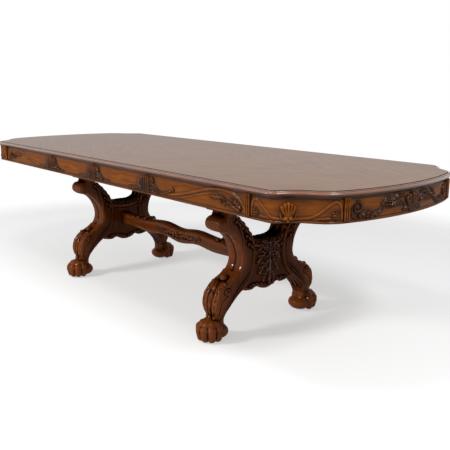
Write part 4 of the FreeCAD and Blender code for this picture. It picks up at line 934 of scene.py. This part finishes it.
def scroll_end(relief, start=0.0, side=1, curled=False):
    """Right of each seam, seen from outside: a reed, a scroll and a spray of leaves that falls away."""
    relief.start, relief.side = start, side
    before = relief.height.copy()
    relief.bead([(0.007, 0.686), (0.007, 0.75)], 0.013, 0.008, taper=0.15)
    relief.scroll((0.032, 0.735), 0.0155, 180, -1.4, 0.008, 0.0075)
    relief.leaves((0.02, 0.0065, 3, (0.016, 0.72), (0.04, 0.718), (0.066, 0.706)),
                  (0.022, 0.0075, 4, (0.014, 0.704), (0.048, 0.706), (0.088, 0.694)),
                  (0.015, 0.005, 5, (0.014, 0.69), (0.08, 0.69), (0.15, 0.692)))
    if curled:
        relief.leaves((0.014, 0.0055, 3, (0.11, 0.692), (0.145, 0.7), (0.176, 0.712)))
        relief.scroll((0.18, 0.715), 0.0085, 270, 1.2, 0.005, 0.006)
    relief.stain((0.03, 0.712), (0.05, 0.03), 0.6)
    relief.stain((0.09, 0.692), (0.05, 0.012), 0.35)
    relief.glaze_over(before, 0.35)


def reeded_end(relief, start=0.0, side=1):
    """Left of each seam: two round reeds, and half a leaf like a fan that leans on them."""
    relief.start, relief.side = start, side
    before = relief.height.copy()
    for place, top in ((0.008, 0.752), (0.023, 0.746)):
        relief.bead([(place, 0.686), (place, top)], 0.014, 0.0085, taper=0.15)
    relief.fan((0.034, 0.686), 4, 84, 0.008, 0.062, 6, 0.0055)
    relief.leaves((0.014, 0.0045, 4, (0.08, 0.69), (0.125, 0.69), (0.165, 0.696)))
    relief.stain((0.03, 0.708), (0.055, 0.034), 0.75)
    relief.stain((0.1, 0.69), (0.055, 0.012), 0.35)
    relief.glaze_over(before, 0.35)


def fit_sides(stem, reliefs, body, place=edge_place):
    """Two aprons that differ at their seam ends, and the same two turned round for the left."""
    back = carved_apron(f"carved_right_{stem}_back", reliefs[0], 0.0, place)
    outer = carved_apron(f"carving_{stem}", reliefs[1], 0.0, place)
    front = twin(outer, f"carved_right_{stem}_front", mirror=True)
    bpy.data.objects.remove(outer)
    fit_four(back, front, stem, body, "apron_wood")


side_relief = apron_relief(STRIP_PLACE)
plain_board = side_relief.height.copy()
side_relief.leaves((0.02, 0.007, 4, (0.41, 0.724), (0.455, 0.726), (0.5, 0.728)),
                   (0.022, 0.008, 4, (0.59, 0.7), (0.562, 0.716), (0.53, 0.73)),
                   (0.022, 0.008, 4, (0.52, 0.72), (0.548, 0.704), (0.585, 0.69)))
for place, rise, radius in ((0.48, 0.713, 0.0085), (0.5, 0.722, 0.008), (0.523, 0.71, 0.009),
                            (0.5, 0.704, 0.0065), (0.545, 0.716, 0.007), (0.572, 0.701, 0.0075)):
    side_relief.flower((place, rise), radius, 0.008, petals=5)
side_relief.glaze_over(plain_board, 0.2)
side_relief.stain((0.535, 0.715), (0.075, 0.022), 0.35)
side_relief.moulding(0.011, 0.003, (0.15, 0.692), (0.21, 0.702), (0.285, 0.718), (0.36, 0.739), (0.425, 0.753),
                     (0.49, 0.757), (0.545, 0.748), (0.585, 0.728), (0.603, 0.703), (0.606, 0.69))
side_relief.moulding(0.006, 0.0022, (0.11, 0.684), (0.19, 0.686), (0.27, 0.7), (0.345, 0.72), (0.41, 0.734),
                     (0.455, 0.738))
side_reliefs = [side_relief, copy.deepcopy(side_relief)]
reeded_end(side_reliefs[0])
scroll_end(side_reliefs[1], curled=True)
fit_sides("side_apron", side_reliefs, "right_half")

corner_relief = apron_relief(CORNER_LENGTH)
corner_relief.stain((SHELL_MIDDLE, 0.712), (0.027, 0.033), 1.4)
for corner_relief.start, corner_relief.side, span in (
        (0.0, 1, SHELL_MIDDLE), (CORNER_LENGTH, -1, CORNER_LENGTH - SHELL_MIDDLE)):

    def spread(*points):
        """Places from the strip towards the shell, as shares of the way."""
        return [(share * span, rise) for share, rise in points]

    corner_relief.moulding(0.01, 0.003, *spread(
        (0.085, 0.69), (0.09, 0.716), (0.12, 0.738), (0.185, 0.748), (0.27, 0.744), (0.38, 0.728),
        (0.52, 0.707), (0.66, 0.693), (0.83, 0.688), (1.0, 0.687)))
    rosette, = spread((0.21, 0.702))
    corner_relief.stain(rosette, (0.028, 0.018), 0.4)
    corner_relief.flower(rosette, 0.0135, 0.009)
    corner_relief.scroll(rosette, 0.0155, 90, 1.0, 0.004, 0.005)
    corner_relief.leaves((0.012, 0.005, 4, *spread((0.3, 0.694), (0.4, 0.692), (0.52, 0.69))))
corner_apron = carved_apron("carved_right_corner_apron_back", corner_relief, STRIP_PLACE)
fit_four(corner_apron, twin(corner_apron, "carved_right_corner_apron_front", mirror=True), "corner_apron",
         "right_half", "apron_wood")

end_relief = apron_relief(END_LENGTH)
plain_board = end_relief.height.copy()
for end_relief.start, end_relief.side in ((0.0, 1), (END_LENGTH, -1)):
    end_relief.scroll((0.046, 0.724), 0.021, 90, -1.4, 0.008, 0.008)
    end_relief.bead(smooth_line([(0.024, 0.726), (0.022, 0.705), (0.034, 0.69), (0.06, 0.684)]), 0.007, 0.006,
                    taper=0.3)
    end_relief.flower((0.196, 0.722), 0.015, 0.01)
    end_relief.scroll((0.312, 0.731), 0.014, 180, 1.3, 0.007, 0.008)
    end_relief.leaves((0.03, 0.009, 4, (0.05, 0.694), (0.09, 0.7), (0.13, 0.694)),
                      (0.026, 0.008, 5, (0.085, 0.688), (0.135, 0.696), (0.18, 0.716)),
                      (0.024, 0.008, 5, (0.205, 0.728), (0.245, 0.746), (0.29, 0.748)),
                      (0.026, 0.008, 5, (0.205, 0.716), (0.25, 0.722), (0.295, 0.712)),
                      (0.018, 0.006, 4, (0.16, 0.722), (0.18, 0.742), (0.205, 0.752)),
                      (0.022, 0.007, 4, (0.33, 0.712), (0.31, 0.698), (0.275, 0.692)))
end_relief.start = END_LENGTH / 2
for end_relief.side in (-1, 1):
    end_relief.drop(0.009, 0.015, 0.01, (0.005, 0.696), (0.026, 0.714), (0.037, 0.733))
    end_relief.drop(0.008, 0.016, 0.011, (0.002, 0.696), (0.014, 0.718), (0.019, 0.741))
    end_relief.dome((0.009, 0.691), 0.009, 0.011)
end_relief.drop(0.008, 0.017, 0.013, (0, 0.694), (0, 0.716), (0, 0.746))
end_relief.glaze_over(plain_board, 0.8)
end_relief.stain_and_shade += 0.1
fit_pair(carved_apron("carved_right_end_apron", end_relief, BOW_START), "right_half", "apron_wood", "right_end_apron")


# Fluted strips and shells. Small carved pieces glued over the apron joints and in the hollow of each
# corner: strips of three upright reeds, and shells of five petals over two berries.

STRIP_WIDTH = 0.026
STRIP_THICKNESS = 0.005
SHELL_THICKNESS = 0.0008
GLUE_DEPTH = 0.001


def overlay(name, relief, start):
    """A thin carved piece on an apron's face, sunk a little into it."""
    rows, columns = relief.height.shape
    index = np.arange(rows * columns * 2).reshape(rows, columns * 2)
    face, behind = index[:, :columns], index[:, columns:]
    rim = np.concatenate([face[:, 0], face[-1, 1:], face[-2::-1, -1], face[0, -2:0:-1]])
    under = rim + columns
    walls = np.stack([rim, np.roll(rim, -1), np.roll(under, -1), under], axis=-1)
    return new_piece(name, [apron_wood], quads=np.vstack([sheet(face), sheet(behind)[:, ::-1], walls]),
                     **carved_rows(relief, start, edge_place, APRON_OVERHANG + GLUE_DEPTH, relief.axes[1]))


def joined(name, pieces):
    """One object from several."""
    bpy.ops.object.select_all(action="DESELECT")
    for piece in pieces:
        piece.select_set(True)
    bpy.context.view_layer.objects.active = pieces[0]
    bpy.ops.object.join()
    pieces[0].name = name
    pieces[0].select_set(False)
    return pieces[0]


def strip_at(name, place):
    relief = Relief(np.linspace(0, STRIP_WIDTH, 31), np.linspace(APRON_LOW + 0.009, APRON_HIGH - 0.001, 60))
    for reed in (0.0045, 0.013, 0.0215):
        relief.bead([(reed, APRON_LOW + 0.012), (reed, APRON_HIGH - 0.004)], 0.0076, 0.006)
    relief.height += STRIP_THICKNESS
    relief.stain_and_shade += 0.25
    return overlay(name, relief, place - STRIP_WIDTH / 2)


shell_relief = Relief(np.linspace(-0.038, 0.038, 64), np.linspace(0.676, 0.752, 64))
for shell_relief.side in (-1, 1):
    shell_relief.drop(0.007, 0.0125, 0.011, (0.003, 0.696), (0.015, 0.711), (0.0205, 0.729))
    shell_relief.drop(0.006, 0.012, 0.014, (0.0015, 0.696), (0.008, 0.716), (0.0108, 0.737))
    shell_relief.dome((0.0078, 0.69), 0.0085, 0.014)
    shell_relief.bead(smooth_line([(0.013, 0.684), (0.0225, 0.692), (0.026, 0.707)]), 0.005, 0.007)
shell_relief.drop(0.006, 0.013, 0.017, (0, 0.694), (0, 0.716), (0, 0.741))
shell_relief.dome((0, 0.68), 0.0055, 0.01)
carved = shell_relief.height > 0.001
shell_relief.stain_and_shade = np.where(carved, -0.35, 0.6)
shell_relief.height = np.where(carved, shell_relief.height, -0.0015) + SHELL_THICKNESS

back_strips = [strip_at("strip_side", STRIP_PLACE), strip_at("strip_end", BOW_START)]
front_strips = [twin(piece, f"{piece.name}_front", mirror=True) for piece in back_strips]
strips = joined("reeded_right_strips", back_strips + front_strips)
fit_pair(strips, "right_half", "carved_wood", "right_fluted_strips")
shell = overlay("corner_shell", shell_relief, SHELL_PLACE)
shells = joined("carved_right_shells", [shell, twin(shell, "corner_shell_front", mirror=True)])
fit_pair(shells, "right_half", "carved_wood", "right_corner_shells")


# Leaves. Each loose leaf is a board between two moulded edges with an apron under each, so that the
# mouldings run through. At its seams the apron has reeds and half a fan on one side, and a scroll and leaves
# on the other, with a low moulding between.

LEAF_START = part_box("right_leaf_panel")[0][0]
LEAF_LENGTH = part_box("right_leaf_panel")[1][0] - LEAF_START


def leaf_place(run):
    run = np.asarray(run, float)
    points = np.stack([run + LEAF_START, np.full(run.shape, HALF_WIDTH)], axis=-1)
    return points, np.stack([np.zeros(run.shape), np.ones(run.shape)], axis=-1)


leaf_edge = swept("leaf_edge", np.linspace(0, LEAF_LENGTH, 12), leaf_place)
leaf_edges = joined("moulded_right_leaf_edges", [leaf_edge, twin(leaf_edge, "leaf_edge_front", mirror=True)])
fit_pair(leaf_edges, "right_leaf", "apron_wood", "right_leaf_edges")
leaf_relief = apron_relief(LEAF_LENGTH)
leaf_relief.moulding(0.007, 0.0022, (0.12, 0.706), (0.165, 0.698), (0.228, 0.695), (0.292, 0.698), (0.337, 0.706))
leaf_reliefs = [leaf_relief, copy.deepcopy(leaf_relief)]
scroll_end(leaf_reliefs[0], LEAF_LENGTH, -1)
reeded_end(leaf_reliefs[0])
scroll_end(leaf_reliefs[1])
reeded_end(leaf_reliefs[1], LEAF_LENGTH, -1)
fit_sides("leaf_apron", leaf_reliefs, "right_leaf", leaf_place)


# Floor, light and camera. A pale studio floor that fades out round the table, an even white room whose
# reflections are bright, and three soft lamps at the front, the right end and above.

FLOOR_REACH = 14.0
FLOOR_FADE, FLOOR_COVER = 3.1, 0.52
ROOM_LIGHT, ROOM_REFLECTION = 0.42, 1.0
stage = Finish("studio floor", Roughness=0.95, Specular_IOR_Level=0.0, Base_Color=(0.95, 0.95, 0.95, 1))
floor_place = stage.node("ShaderNodeTexCoord", output="Object")
from_middle = stage.node("ShaderNodeVectorMath", {"operation": "LENGTH"}, {0: floor_place}, output="Value")
cover = stage.maths("MULTIPLY", FLOOR_FADE - from_middle, 0.9, clamp=True)
stage.feed(Alpha=stage.maths("MINIMUM", cover, FLOOR_COVER))
floor_mesh = bpy.data.meshes.new("studio_floor")
floor_mesh.from_pydata([(x * FLOOR_REACH, y * FLOOR_REACH, 0) for x, y in ((-1, -1), (1, -1), (1, 1), (-1, 1))],
                       [], [(0, 1, 2, 3)])
floor = bpy.data.objects.new("studio_floor", floor_mesh)
bpy.context.scene.collection.objects.link(floor)
floor_mesh.materials.append(stage.material)

world = bpy.data.worlds.new("studio")
bpy.context.scene.world = world
world.use_nodes = True
world.node_tree.nodes.clear()
room = Nodes(world.node_tree)
seen, through, mirrored = [
    room.node("ShaderNodeLightPath", output=f"Is {kind} Ray") for kind in ("Camera", "Transmission", "Glossy")]
plain, bright = [
    room.node("ShaderNodeBackground", {}, {"Color": (1.0, 1.0, 1.0, 1), "Strength": strength})
    for strength in (ROOM_LIGHT, ROOM_REFLECTION)]
sharp = room.maths("MAXIMUM", room.maths("MAXIMUM", seen, through), mirrored)
walls = room.node("ShaderNodeMixShader", {}, {0: sharp, 1: plain, 2: bright})
room.node("ShaderNodeOutputWorld", {}, {"Surface": walls})


def lamp(name, place, target, power, width, height):
    data = bpy.data.lights.new(name, "AREA")
    data.shape = "RECTANGLE"
    data.size, data.size_y, data.energy = width, height, power
    holder = bpy.data.objects.new(name, data)
    holder.location = place
    holder.rotation_euler = (Vector(target) - Vector(place)).to_track_quat("-Z", "Y").to_euler()
    bpy.context.scene.collection.objects.link(holder)


lamp("side_window", (-1.7, -5.1, 3.1), (0.6, 0, 0.5), 225, 1.2, 0.7)
lamp("end_window", (3.3, -0.6, 3.2), (1.0, 0, 0.6), 75, 0.7, 0.6)
lamp("high_window", (0.8, -1.4, 3.4), (0, 0, 0.4), 30, 0.6, 0.6)

CAMERA_PLACE = Vector((2.5565, -1.9307, 1.1218))
CAMERA_YAW, CAMERA_PITCH, CAMERA_ROLL = 0.8494, 0.2284, 0.0043
FOCAL_PIXELS = 592.4
PHOTO_PIXELS = 450
camera = bpy.data.cameras.new("camera")
camera.sensor_width = 36.0
camera.lens = camera.sensor_width * FOCAL_PIXELS / PHOTO_PIXELS
viewpoint = bpy.data.objects.new("camera", camera)
viewpoint.location = CAMERA_PLACE
heading = Vector((-math.sin(CAMERA_YAW) * math.cos(CAMERA_PITCH), math.cos(CAMERA_YAW) * math.cos(CAMERA_PITCH),
                  -math.sin(CAMERA_PITCH)))
viewpoint.rotation_euler = (heading.to_track_quat("-Z", "Y") @ Quaternion((0, 0, 1), CAMERA_ROLL)).to_euler()
bpy.context.scene.collection.objects.link(viewpoint)
bpy.context.scene.camera = viewpoint
bpy.context.scene.view_settings.view_transform = "Standard"
